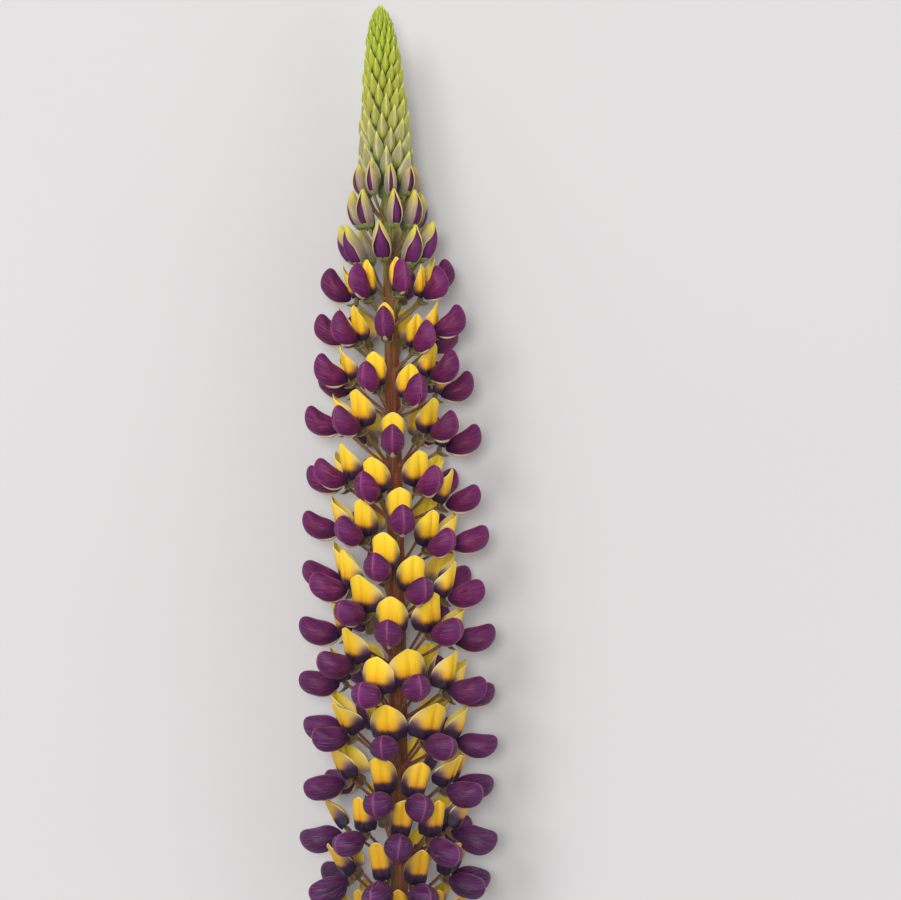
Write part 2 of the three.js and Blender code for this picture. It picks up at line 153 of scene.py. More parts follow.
BANNER_ROOT = (3.3, 1.1)
BANNER_CLAW = 3.3
BANNER_CLAW_TILT = 22
BANNER_LENGTH = 13.2
BANNER_ROWS = 18
BANNER_COLUMNS = 25
BANNER_THICKNESS = 0.34
BANNER_FOLD_RUN = 3.4
BANNER_FURROW = ((0.55, 0, 0.75), (-0.3, 1.7, 0.8))  # height, middle and run of its waves
BANNER_FLUTTER = 0.3
BANNER_SINK = 2.4  # how far the lobes reach down beside the claw
BANNER_STEPS = 200  # of the fine line that its middle line is drawn by
FOLD_STEPS = 40  # of the one that each side lobe is drawn by
# Along the petal, from its root to its tip: share of its full half width.
BANNER_YOUNG = ((0, 0.22), (0.08, 0.42), (0.15, 0.76), (0.24, 0.94), (0.36, 1), (0.5, 0.9),
                (0.64, 0.7), (0.78, 0.5), (0.9, 0.3), (0.96, 0.18), (1, 0.04))
BANNER_FULL = ((0, 0.18), (0.08, 0.36), (0.15, 0.7), (0.24, 0.9), (0.36, 1), (0.52, 0.97),
               (0.65, 0.82), (0.76, 0.62), (0.85, 0.44), (0.93, 0.28), (0.98, 0.15), (1, 0.03))
BANNER_DOME = ((0, 0.18), (0.08, 0.36), (0.15, 0.7), (0.24, 0.94), (0.36, 1), (0.5, 0.98),
               (0.62, 0.9), (0.74, 0.76), (0.84, 0.58), (0.92, 0.37), (0.97, 0.19), (1, 0.02))
KEEL_LINE = ((4.6, -0.8), (7.2, -3.6), (10.4, -5.1), (13.6, -5.3), (16, -4.6), (17.4, -3.6))
KEEL_HALVES = ((0, 0.7), (0.2, 1.2), (0.5, 0.95), (0.75, 0.35), (1, 0.1))
KEEL_ROWS = 14
CALYX_ROWS = 8
CALYX_COLUMNS = 20
CALYX_LENGTH = 2.2
CALYX_TEETH = 0.35
CALYX_THICKNESS = 0.22


# ---- where everything sits ----

def stem_radius(place):
    return STEM_RADIUS * (1 - np.exp(-(place - STEM_TAPER_START) / STEM_TAPER))


def lean(place):
    return -BOW * np.maximum(0, 1 - place / SPIKE_LENGTH) ** 2


def height_of_stem(place):
    return TIP_HEIGHT + HEIGHT_GAIN * place / SPIKE_LENGTH


def spike_origin():
    """The tip's place on the straight line of the spike, from where the solid stem lies."""
    low, high = (np.array(corner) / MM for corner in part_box("flower_stem"))
    radius = stem_radius(STEM_LENGTH)
    height = high[2] - height_of_stem(STEM_LENGTH) - radius
    return np.array([high[0] - radius, low[1] + STEM_LENGTH, height])


ORIGIN = spike_origin()


def laid(points):
    """Points of a straight spike, tip at 0 and stem along -y, on the bowed line, in metres."""
    place = -points[:, 1]
    moved = points + ORIGIN
    moved[:, 0] += lean(place)
    moved[:, 2] += height_of_stem(place)
    # petals that would reach through the floor are pressed flat on it
    moved[:, 2] = FLOOR_SOFTNESS * np.logaddexp(0, moved[:, 2] / FLOOR_SOFTNESS)
    return moved * MM


def turned(points, angle, first=0, second=2):
    """Points turned by an angle, in radians, from one of their axes towards another."""
    result = np.array(points, float)
    one, other = result[:, first].copy(), result[:, second].copy()
    result[:, first] = one * math.cos(angle) - other * math.sin(angle)
    result[:, second] = one * math.sin(angle) + other * math.cos(angle)
    return result


def seated(points, seat):
    """Points of a floret's own frame at its seat on the straight spike."""
    risen = turned(points, math.radians(seat.rise))[:, [1, 2, 0]]
    return turned(risen + [0, -seat.place, seat.radius], -math.radians(seat.bearing))


def root_of(place, seat):
    """The foot of a stalk at a place on the stem, in its floret's frame: along, height."""
    up = math.radians(seat.rise)
    out = stem_radius(place) + STALK_FOOT_CLEARANCE - seat.radius
    tipward = seat.place - place
    return (out * math.cos(up) + tipward * math.sin(up),
            -out * math.sin(up) + tipward * math.cos(up))


def solid_draws():
    """The fixed row of numbers from -1 to 1 that scatters the florets of the solids."""
    state = SEED
    while True:
        state = (state * 1664525 + 1013904223) % 4294967296
        yield state / 4294967296 * 2 - 1


def lowest_of_wings(seat):
    corners = np.vstack([np.array(POUCH_CORNERS) * [1, side, 1] for side in (1, -1)])
    points = seated(corners * seat.size, seat)
    return np.min(points[:, 2] + height_of_stem(-points[:, 1]))


def pressed(seat):
    """The weight of the spike bends the florets under it towards the tip."""
    if lowest_of_wings(seat) >= 0:
        return
    low, high = seat.rise, MOST_RISE
    for _ in range(BEND_TRIES):
        seat.rise = (low + high) / 2
        if lowest_of_wings(seat) < 0:
            low = seat.rise
        else:
            high = seat.rise
    seat.rise = high


def seats_of_florets(draws):
    """Where each open floret sits, tier by tier."""
    for level, rise, reach, size, florets in TIERS:
        sine, cosine = math.sin(math.radians(rise)), math.cos(math.radians(rise))
        calyx_radius = reach - size * POUCH_REACH * cosine
        foot = (level + size * POUCH_MIDDLE[0] * sine
                + calyx_radius * math.tan(math.radians(STALK_RISE)))
        seats = []
        for bearing, lift in florets:
            seat = SimpleNamespace(bearing=bearing)
            seat.rise = rise + RISE_SCATTER * next(draws)
            seat.size = size * (1 + SIZE_SCATTER * next(draws))
            up = math.radians(seat.rise)
            seat.radius = reach - seat.size * POUCH_REACH * cosine
            seat.place = level - lift + seat.size * (
                POUCH_MIDDLE[0] * math.sin(up) + POUCH_MIDDLE[1] * math.cos(up))
            pressed(seat)
            most = COLLAR_LENGTH / 4
            seat.root = root_of(foot + min(max(-lift, -most), most), seat)
            seats.append(seat)
        yield seats


def seats_of_pods(draws):
    """Where each floret that is about to open sits, tier by tier."""
    for level, rise, middle, length, width, florets in POD_TIERS:
        up = math.radians(rise)
        radius = middle - length / 2 * math.cos(up)
        seats = []
        for bearing, lift in florets:
            seat = SimpleNamespace(bearing=bearing, radius=radius, length=length, width=width,
                                   size=1)
            seat.rise = rise + POD_RISE_SCATTER * next(draws)
            seat.place = level + length / 2 * math.sin(up) - lift
            slope = (radius - stem_radius(seat.place)) * POD_STALK_SLOPE
            seat.root = root_of(seat.place + slope, seat)
            seats.append(seat)
        yield seats


# ---- meshes ----

def joined(*values):
    """One grid of triples from three grids, rows, columns or numbers."""
    return np.stack(np.broadcast_arrays(*values), axis=-1)


def around(sides):
    return np.linspace(0, 2 * math.pi, sides, endpoint=False)


def table_at(table, values):
    """The values of a table of pairs at some places, in a straight line between its rows."""
    return np.interp(values, *zip(*table))


def eased(value):
    """0 up to 0 and 1 from 1 on, with a smooth step between."""
    value = np.clip(value, 0, 1)
    return value * value * (3 - 2 * value)


@functools.lru_cache(maxsize=None)
def quads(rows, columns, wrap):
    """The squares between rows of points, as four point numbers each."""
    i, j = np.meshgrid(np.arange(rows - 1), np.arange(columns if wrap else columns - 1),
                       indexing="ij")
    k = (j + 1) % columns
    corners = (i * columns + j, i * columns + k, (i + 1) * columns + k, (i + 1) * columns + j)
    return np.stack(corners, axis=-1).reshape(-1, 4)


def tube_faces(rows, sides, far_end=True):
    """The faces round rows of points, with a flat face at the near end and the far one."""
    faces = [tuple(face) for face in quads(rows, sides, True)]
    faces.append(tuple(range(sides))[::-1])
    if far_end:
        faces.append(tuple(range((rows - 1) * sides, rows * sides)))
    return faces


def normals_of(grid, wrap):
    """The unit normals of a grid of points, along its rows cross along its columns."""
    down = np.gradient(grid, axis=0)
    if wrap:
        across = np.roll(grid, -1, axis=1) - np.roll(grid, 1, axis=1)
    else:
        across = np.gradient(grid, axis=1)
    normal = np.cross(down, across)
    return normal / np.maximum(np.linalg.norm(normal, axis=2, keepdims=True), LEAST_NORMAL)


def thick_sheet(grid, thickness, wrap=False, closed_end=False):
    """A thin closed body round a grid of points, its front on the side of its normals.
    Returns its points, its faces and 1 for each point of the front, 0 for the back."""
    rows, columns, _ = grid.shape
    half = normals_of(grid, wrap) * thickness / 2
    count = rows * columns
    squares = quads(rows, columns, wrap)
    blocks = [squares, squares[:, ::-1] + count]
    borders = [np.arange(columns)]
    if not closed_end:
        borders.append(np.arange(columns)[::-1] + (rows - 1) * columns)
    if wrap:
        borders = [np.append(border, border[0]) for border in borders]
    else:
        borders.append(np.arange(rows)[::-1] * columns)
        borders.append(np.arange(rows) * columns + columns - 1)
    for border in borders:
        a, b = border[:-1], border[1:]
        blocks.append(np.stack([b, a, a + count, b + count], axis=1))
    points = [(grid + half).reshape(-1, 3), (grid - half).reshape(-1, 3)]
    fronts = [np.ones(count), np.zeros(count)]
    if closed_end:
        for layer, way in ((0, 1), (1, -1)):
            ring = np.arange(columns) + (layer * rows + rows - 1) * columns
            pair = (ring, np.roll(ring, -1))[::way]
            blocks.append(joined(*pair, 2 * count + layer))
            points.append(points[layer][-columns:].mean(axis=0, keepdims=True))
        fronts.append(np.array([1, 0]))
    faces = [tuple(face) for block in blocks for face in block]
    return np.vstack(points), faces, np.concatenate(fronts)


def flat_curve(points, count, closed=False):
    """A smooth curve through points, as evenly spaced points."""
    points = np.array(points, float)
    if closed:
        padded = np.vstack([points[-1:], points, points[:2]])
    else:
        padded = np.vstack([2 * points[0] - points[1], points, 2 * points[-1] - points[-2]])
    steps = np.linspace(0, 1, CURVE_STEPS, endpoint=False)[:, None]
    runs = []
    for a, b, c, d in zip(padded, padded[1:], padded[2:], padded[3:]):
        runs.append(0.5 * (2 * b + (c - a) * steps + (2 * a - 5 * b + 4 * c - d) * steps ** 2
                           + (3 * b - a - 3 * c + d) * steps ** 3))
    fine = np.vstack(runs + [padded[-2:-1]])
    length = np.append(0, np.cumsum(np.linalg.norm(np.diff(fine, axis=0), axis=1)))
    wanted = np.linspace(0, length[-1], count, endpoint=not closed)
    return np.stack([np.interp(wanted, length, values) for values in fine.T], axis=1)


def tube(line, halves, heights, sides=TUBE_SIDES):
    """A closed body along a line in the middle plane: half widths and half heights along it."""
    run = np.gradient(line, axis=0)
    run /= np.linalg.norm(run, axis=1, keepdims=True)
    tall = np.outer(heights, np.cos(around(sides)))
    points = joined(line[:, :1] - tall * run[:, 1:], np.outer(halves, np.sin(around(sides))),
                    line[:, 1:] + tall * run[:, :1])
    return points.reshape(-1, 3), tube_faces(len(line), sides)


def round_the_line(place, half, sides):
    """Rows of points round the straight line of the spike."""
    turn = around(sides)
    return joined(half * np.sin(turn), -place, half * np.cos(turn))


def mark_points(mesh, marks):
    for mark, values in marks.items():
        attribute = mesh.attributes.new(mark, "FLOAT_VECTOR", "POINT")
        attribute.data.foreach_set("vector", np.asarray(values, np.float32).ravel())


def mesh_of(name, points, faces, marks, material):
    """A mesh of faces that run clockwise as seen from outside, turned to face outwards."""
    mesh = bpy.data.meshes.new(name)
    mesh.from_pydata(points.tolist(), [], [face[::-1] for face in faces])
    mark_points(mesh, marks)
    mesh.materials.append(material)
    mesh.shade_smooth()
    return mesh


def placed(name, data):
    """A new object of the scene."""
    thing = bpy.data.objects.new(name, data)
    bpy.context.scene.collection.objects.link(thing)
    return thing


def piece_of(name, mesh, slot, *nodes):
    """A finished piece of the spike: it rides on the part's one body."""
    piece = placed(name, mesh)
    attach(piece, "root")
    if nodes:
        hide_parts(*nodes)


def heaped(name, parts, material, slot, *nodes):
    """A piece of many parts, each as part_of makes them."""
    faces, count = [], 0
    for points, part_faces, *_ in parts:
        faces += [tuple(int(i) + count for i in face) for face in part_faces]
        count += len(points)
    points, _, petal, floret = (list(column) for column in zip(*parts))
    marks = {"petal": np.vstack(petal), "floret": np.vstack(floret)}
    piece_of(name, mesh_of(name, laid(np.vstack(points)), faces, marks, material), slot, *nodes)


# ---- nodes ----

def add(tree, kind, inputs=None, **settings):
    """A node of a tree. Each of its inputs is a value or another node's output."""
    node = tree.nodes.new(kind)
    for name, value in settings.items():
        setattr(node, name, value)
    for key, value in (inputs or {}).items():
        if isinstance(value, bpy.types.NodeSocket):
            tree.links.new(value, node.inputs[key])
        else:
            node.inputs[key].default_value = value
    return node


def made(tree, kind, inputs=None, **settings):
    """The first output of a new node."""
    return add(tree, kind, inputs, **settings).outputs[0]


def maths(operation, *values, kind="ShaderNodeMath"):
    """The output of a sum. At least one of its values is another node's output."""
    tree = next(value.id_data for value in values if isinstance(value, bpy.types.NodeSocket))
    return made(tree, kind, dict(enumerate(values)), operation=operation)


plus = functools.partial(maths, "ADD")
less = functools.partial(maths, "SUBTRACT")
times = functools.partial(maths, "MULTIPLY")
times_plus = functools.partial(maths, "MULTIPLY_ADD")
power = functools.partial(maths, "POWER")
vectors = functools.partial(maths, kind="ShaderNodeVectorMath")


def scaled(vector, factor):
    inputs = {0: vector, "Scale": factor}
    return made(vector.id_data, "ShaderNodeVectorMath", inputs, operation="SCALE")


def vector_of(tree, x=0.0, y=0.0, z=0.0):
    return made(tree, "ShaderNodeCombineXYZ", {0: x, 1: y, 2: z})


def colour(code):
    """A colour as its six hex digits, in linear light."""
    parts = [int(code[i:i + 2], 16) / 255 for i in (0, 2, 4)]
    return [c / 12.92 if c <= 0.04045 else ((c + 0.055) / 1.055) ** 2.4 for c in parts] + [1]


class Finish:
    """A material with its nodes under construction. Colours are six hex digits."""

    def __init__(self, name, roughness=0.5, **constants):
        self.material = bpy.data.materials.new(name)
        self.material.use_nodes = True
        self.tree = self.material.node_tree
        self.shader = self.tree.nodes["Principled BSDF"]
        self.shader.inputs["Roughness"].default_value = roughness
        for socket, value in constants.items():
            self.shader.inputs[socket.replace("_", " ")].default_value = value

    def mark(self, name):
        """The three numbers of a mark that the mesh carries."""
        read = add(self.tree, "ShaderNodeAttribute", attribute_name=name)
        return tuple(add(self.tree, "ShaderNodeSeparateXYZ", {0: read.outputs["Vector"]}).outputs)

    def noise(self, vector, scale, detail=3.0, roughness=0.55):
        inputs = {"Vector": vector, "Scale": scale, "Detail": detail, "Roughness": roughness}
        return made(self.tree, "ShaderNodeTexNoise", inputs)

    def grain(self, scale, detail=3.0):
        """Noise that is the same in every direction."""
        return self.noise(add(self.tree, "ShaderNodeTexCoord").outputs["Object"], scale, detail)

    def streaks(self, across, along, own, stretch, *settings):
        """Noise in streaks. stretch: how fine it is across, along and from floret to floret."""
        at = vectors("MULTIPLY", vector_of(self.tree, across, along, own), stretch)
        return self.noise(at, *settings)

    def ranged(self, value, low, high, to_low=0.0, to_high=1.0, kind="SMOOTHSTEP"):
        """value from low to high becomes to_low to to_high, and stays between them."""
        inputs = {0: value, 1: low, 2: high, 3: to_low, 4: to_high}
        return made(self.tree, "ShaderNodeMapRange", inputs, interpolation_type=kind)

    def mixed(self, share, first, second, blend="MIX"):
        first, second = (colour(c) if isinstance(c, str) else c for c in (first, second))
        node = add(self.tree, "ShaderNodeMix", {0: share, 6: first, 7: second},
                   data_type="RGBA", blend_type=blend)
        return node.outputs[2]

    def layered(self, paint, *layers):
        """A paint under layers: each a colour, then the factors of its share, which are
        outputs or what ranged takes."""
        for code, *factors in layers:
            factors = [self.ranged(*x) if isinstance(x, tuple) else x for x in factors]
            paint = self.mixed(functools.reduce(times, factors), paint, code)
        return paint

    def shaded(self, paint, own, darkest, lightest):
        """A paint made a little darker or lighter for each floret."""
        shade = self.ranged(own, 0, 1, darkest, lightest, "LINEAR")
        return self.mixed(1.0, paint, vector_of(self.tree, shade, shade, shade), "MULTIPLY")

    def ramp(self, factor, *stops):
        node = add(self.tree, "ShaderNodeValToRGB", {0: factor})
        points = node.color_ramp.elements
        while len(points) < len(stops):
            points.new(1)
        for point, (position, code) in zip(points, stops):
            point.position = position
            point.color = colour(code)
        return node.outputs[0]

    def done(self, paint, height=None, bump=0.3, depth=0.2, rough=None):
        """The material: its paint, how high its skin stands, how rough it is."""
        outputs = {"Base Color": paint}
        if height is not None:
            inputs = {"Strength": bump, "Distance": depth * MM, "Height": height}
            outputs["Normal"] = made(self.tree, "ShaderNodeBump", inputs)
        if rough is not None:
            outputs["Roughness"] = rough
        for socket, output in outputs.items():
            self.tree.links.new(output, self.shader.inputs[socket])
        return self.material


# ---- finishes ----
# Marks on petals. petal: turn or place across, place along, closeness to the margin (1 there).
# floret: place in the spike (0 top, 1 bottom), a number of its own from 0 to 1, and a third:
# 1 on the front of an open banner and on all of a floret that is still folded.

def wing_violet():
    f = Finish("wing_petal_violet", 0.55, Specular_IOR_Level=0.3, Sheen_Weight=0.07)
    f.shader.inputs["Sheen Tint"].default_value = colour("D088B0")
    across, along, rim = f.mark("petal")
    age, own, young = f.mark("floret")
    streak = f.streaks(across, along, own, (12, 1.1, 40), 2.6, 4, 0.6)
    veins = f.streaks(across, along, own, (34, 1, 20), 2.4, 2)
    warm = f.ranged(age, 0.4, 1, 0.32, 0.1)
    paint = f.layered(
        f.ramp(age, (0, "661044"), (0.3, "641146"), (0.6, "551448"), (0.8, "401640"),
               (1, "20122A")),
        # dark and light streaks: partly the petal's own veining, partly painted shade and painted
        # highlight
        ("22041E", (streak, 0.36, 0.5, 0.85, 0)),
        ("AC52A0", (streak, 0.56, 0.72), (age, 0.7, 1, 0.6, 0.4)),
        ("861C54", (f.grain(260), 0.4, 0.65), warm),
        # painted shade: near black towards the foot, where the wing tucks into the calyx under the
        # banner
        ("1C0820", (along, 0.12, 0.45, 0.85, 0)),
        # painted reflection: bluish violet towards the margin, where the wings face up to the sky
        ("5E1A62", (rim, 0.35, 0.9, 0, 0.4)),
        ("98245E", (rim, 0.92, 1), warm),
        ("B478A0", (rim, 0.985, 1), (age, 0, 0.6, 0.25, 0.4)),
        ("745878", (veins, 0.52, 0.64), (age, 0.4, 1, 0.1, 0.4)),
        ("541864", (young, 0, 1, 0, 0.45)),
    )
    rough = f.ranged(streak, 0.3, 0.7, 0.62, 0.5)
    return f.done(f.shaded(paint, own, 0.84, 1.14), streak, 0.45, 0.25, rough)


def banner_yellow():
    f = Finish("banner_petal_yellow", 0.5, Specular_IOR_Level=0.35, Sheen_Weight=0.05)
    across, up, rim = f.mark("petal")
    age, own, front = f.mark("floret")
    wide = maths("ABSOLUTE", across)
    streak = f.streaks(across, up, own, (15, 0.9, 30), 3.2, 5, 0.65)
    sway = less(streak, 0.5)
    old = f.ranged(age, 0.45, 0.85)
    # the front: a dark foot, where clear is 0, then gold with orange streaks
    foot = times_plus(old, -0.075, times_plus(sway, 0.2, up))
    foot = plus(f.ranged(age, 0, 0.3, 0.075, 0), foot)
    foot = times_plus(times(wide, wide), -0.1, foot)
    clear = f.ranged(foot, 0.28, 0.38)
    gold = f.layered(
        f.ramp(foot, (0, "1A0A20"), (0.19, "280F2E"), (0.25, "46201F"), (0.3, "A8701A"),
               (0.36, "F0AE0C"), (0.5, "FDCC18"), (1, "FFDA34")),
        ("DE8C06", (streak, 0.48, 0.66), (up, 0.35, 0.8, 0.75, 0.12), clear),
        ("F2B004", (age, 0, 0.3, 0.3, 0), clear),
        ("B87408", (wide, 0, 0.07, 1, 0), (up, 0.3, 0.9, 0.7, 0.15), clear, old),
        ("CE9210", (age, 0.5, 1, 0, 0.75), clear),
    )
    # its side lobes: pale, and dusky towards the foot
    lobe = times_plus(old, 0.2, times_plus(sway, 0.16, wide))
    lobe = times_plus(f.ranged(age, 0.1, 0.35), 0.12, lobe)
    tan = f.mixed(f.ranged(age, 0.55, 0.85), "EED684", "C8A24C")
    pale = f.mixed(f.ranged(foot, 0.32, 0.6), "63435E", tan)
    pale = f.mixed(f.ranged(foot, 0.2, 0.38, 1, 0), pale, "28122E")
    # the back: cream, dusky towards its foot, and painted a brighter yellow as the glow of light
    # through the thin petal
    back = f.layered(
        f.mixed(f.ranged(up, 0.3, 0.8), "F4CC34", "FCDC3C"),
        ("F0E2A0", (wide, 0.3, 0.8, 0, 0.3)),
        ("80687C", (times_plus(sway, 0.3, up), 0.16, 0.36, 0.9, 0)),
    )
    paint = f.layered(
        f.mixed(front, back, f.mixed(f.ranged(lobe, 0.48, 1), gold, pale)),
        ("F6E69C", (rim, 0.9, 1), (up, 0.4, 0.6)),
        ("A87C18", (age, 0.84, 1, 0, 0.4), clear),
    )
    rough = f.ranged(streak, 0.3, 0.7, 0.6, 0.45)
    return f.done(f.shaded(paint, own, 0.92, 1.05), streak, 0.35, 0.22, rough)


def keel_cream():
    f = Finish("keel_cream", 0.5)
    _, along, _ = f.mark("petal")
    age, _, _ = f.mark("floret")
    mottle = f.grain(420)
    paint = f.layered(
        f.ramp(along, (0, "9F9A62"), (0.3, "D8C49A"), (0.6, "CCA698"), (1, "A86E88")),
        ("A88799", (mottle, 0.45, 0.75, 0, 0.4)),
        ("8E7A70", (age, 0.5, 1, 0, 0.35)),
    )
    return f.done(paint, mottle, 0.2, 0.15)


def calyx_green():
    f = Finish("calyx_silver_green", 0.62, Sheen_Weight=0.12, Sheen_Roughness=0.6)
    across, along, rim = f.mark("petal")
    age, own, young = f.mark("floret")
    ribs = f.streaks(across, along, own, (26, 1, 1), 1.3)
    paint = f.layered(
        f.ramp(age, (0, "6A6A28"), (0.3, "6A5A2A"), (1, "604430")),
        ("74962E", young),
        ("9C9452", (ribs, 0.45, 0.65, 0, 0.3)),
        ("60303C", (f.grain(350, 2), 0.4, 0.65), (young, 0, 1, 0.6, 0)),
        ("A39C6C", (rim, 0.88, 1, 0, 0.3)),
        ("7A5A3C", (along, 0, 0.25, 0.45, 0)),
    )
    return f.done(paint, ribs, 0.5, 0.3)


def stem_skin():
    f = Finish("stem_skin", 0.5, Specular_IOR_Level=0.35, Sheen_Weight=0.03)
    across, along, cut = f.mark("petal")
    fine = f.streaks(across, along, 0.0, (60, 30, 1), 1, 4, 0.65)
    pith = f.layered(
        f.ramp(cut, (0, "70803C"), (0.25, "8FA24E"), (0.4, "C9D097"), (0.6, "DFDDB4"),
               (1, "E9E6CB")),
        ("B5B98A", (f.grain(1500, 2), 0.4, 0.7, 0, 0.3)),
    )
    paint = f.layered(
        f.ramp(along, (0, "7F9440"), (0.2, "7C8038"), (0.25, "845626"), (0.36, "78320A"),
               (0.7, "6A2C0A"), (0.86, "744620"), (1, "6F6A3A")),
        ("461E10", (fine, 0.36, 0.5, 0.5, 0)),
        ("A06230", (fine, 0.54, 0.7, 0, 0.3)),
        ("6E5A28", (f.grain(90), 0.45, 0.7, 0, 0.3)),
        (pith, (cut, 0.001, 0.02)),
    )
    return f.done(paint, fine, 0.5, 0.35)


def stalk_skin():
    f = Finish("stalk_red_brown", 0.5, Specular_IOR_Level=0.4, Sheen_Weight=0.1)
    along, _, _ = f.mark("petal")
    age, _, _ = f.mark("floret")
    grain = f.grain(900)
    paint = f.layered(
        f.ramp(age, (0, "7E6034"), (0.2, "7C4630"), (0.6, "723428"), (1, "643028")),
        (f.ramp(age, (0, "8A7E3C"), (0.3, "80602E"), (1, "6C4634")), (along, 0.35, 1)),
        ("B98E66", (grain, 0.5, 0.75, 0, 0.4)),
    )
    return f.done(paint, grain, 0.35, 0.2)


def folded_cream():
    f = Finish("folded_banner_cream", 0.5, Sheen_Weight=0.25)
    across, along, rim = f.mark("petal")
    _, own, _ = f.mark("floret")
    veins = f.streaks(across, along, own, (14, 1, 20), 1.6, 4, 0.6)
    paint = f.layered(
        f.ramp(along, (0, "84943A"), (0.2, "8A7E5C"), (0.5, "AC9C60"), (0.8, "BEAE50"),
               (1, "DCCC3C")),
        ("806280", (veins, 0.42, 0.6), (along, 0.55, 0.9, 0.75, 0)),
        ("E2D484", (rim, 0.93, 1), (along, 0.1, 0.7, 0.1, 0.65)),
    )
    return f.done(paint, veins, 0.35, 0.2)


def bud_green():
    f = Finish("bud_green", 0.55, Specular_IOR_Level=0.35, Sheen_Weight=0.15)
    across, along, _ = f.mark("petal")
    share, own, _ = f.mark("floret")
    veins = f.streaks(across, along, own, (8, 1, 1), 1.8)
    # its keeled back and its sides are pale lower in the cone: partly their own silky paleness,
    # partly a painted highlight on these ridges
    outer = maths("ABSOLUTE", less(across, 1.0))
    edge = plus(f.ranged(outer, 0, 0.12, 0.5, 0), f.ranged(outer, 0.36, 0.56, 0, 0.75))
    paint = f.layered(
        f.ramp(share, (0, "9EAE1C"), (0.3, "9CAE18"), (0.55, "A8A826"), (0.8, "A69A42"),
               (1, "9A8652")),
        ("8E7A88", (share, 0.62, 1, 0, 0.6), (along, 0.2, 0.5), (along, 0.62, 0.9, 1, 0)),
        (f.mixed(f.ranged(share, 0.4, 1), "DAD450", "ECE2A4"), edge, (share, 0.15, 0.5)),
        ("88A428", (veins, 0.4, 0.65, 0.35, 0)),
        # painted shade: darker towards the foot, in the gaps between the overlapping buds
        ("5C7414", (along, 0, 0.42, 0.9, 0)),
        ("E6E472", (along, 0.72, 1, 0, 0.8)),
    )
    return f.done(f.shaded(paint, own, 0.9, 1.08), veins, 0.3, 0.2)


def core_shade_green():
    # the core is painted dark green, as the shade that fills the gaps between the buds
    f = Finish("cone_core_green", 0.7)
    grain = f.grain(700)
    return f.done(f.mixed(grain, "30400E", "4E601A"), grain, 0.4, 0.3)


def hair_silver(name, first, second):
    f = Finish(name, 0.4, Sheen_Weight=0.4)
    return f.done(f.mixed(f.grain(500, 2), first, second))


def floor_white():
    f = Finish("floor_white", 0.85)
    return f.done(f.mixed(f.grain(3, 2), "CDCCCC", "D2D0D0"))


# ---- an open floret ----

# How the florets change down the spike: tier number, then the value there.
BY_TIER = {
    # the banner: its half width, how far its sides fold back in degrees, how wide it stays
    # flat, and the shares of its open outline and of its domed one
    "width": ((1, 6.8), (2, 8), (3, 9.2), (4, 9.8), (6, 10.4), (8, 10.6), (10, 10.4),
              (12, 9.2), (13, 8.6), (14, 8.2)),
    "fold": ((1, 108), (3, 100), (5, 92), (8, 88), (10, 80), (12, 84), (13, 90), (14, 94)),
    "flat": ((1, 1), (2, 1.9), (3, 2.3), (8, 2.5), (10, 1.8), (12, 1.8), (14, 1.6)),
    "open": ((1, 0), (2, 0.35), (3, 0.75), (4, 1)),
    "dome": ((1, 0), (5, 0.4), (8, 0.5), (9, 1), (12, 0.9), (13, 0.3), (14, 0.1)),
    # the wings: the share of their full outline, how round and how high they are, how far
    # they part, and how far they hang on the sides off the floor, both in degrees
    "full": ((1, 0), (4, 0.1), (9, 1)),
    "plump": ((1, 0.84), (4, 0.98), (9, 1.12)),
    "stature": ((1, 1), (3, 0.95), (5, 0.87), (9, 0.87), (12, 0.92), (14, 0.95)),
    "parting": ((9, 0), (10, 0.35), (14, 0.5)),
    "droop": ((9, 0), (11, 9), (14, 15)),
    # how far the keel drops, and how loosely the whole floret stands
    "drop": ((1, 0.45), (3, 0.4), (5, 0.3), (9, 0), (14, -0.2)),
    "slack": ((8, 0), (10, 1)),
}
DOMED_TIERS = (8, 9, 10)
DOMED_BEARING = 38
DOME_UNFOLDING = 22
SIDE_ROLL = 9
OWN_ROLL = (4, 8)  # in degrees, of every floret and more of a slack one
FIRST_LEANING_TIER = 9
LEANING_COSINE = 0.75  # of its bearing; a floret further round leans
FLOOR_BEARINGS = (80, 140)  # a floret droops less and less from the one to the other


def spot(flat, middle, spread):
    """1 at a spot of a petal's plane, and less round it as it spreads."""
    return np.exp(-(((flat - middle) / spread) ** 2).sum(axis=-1))


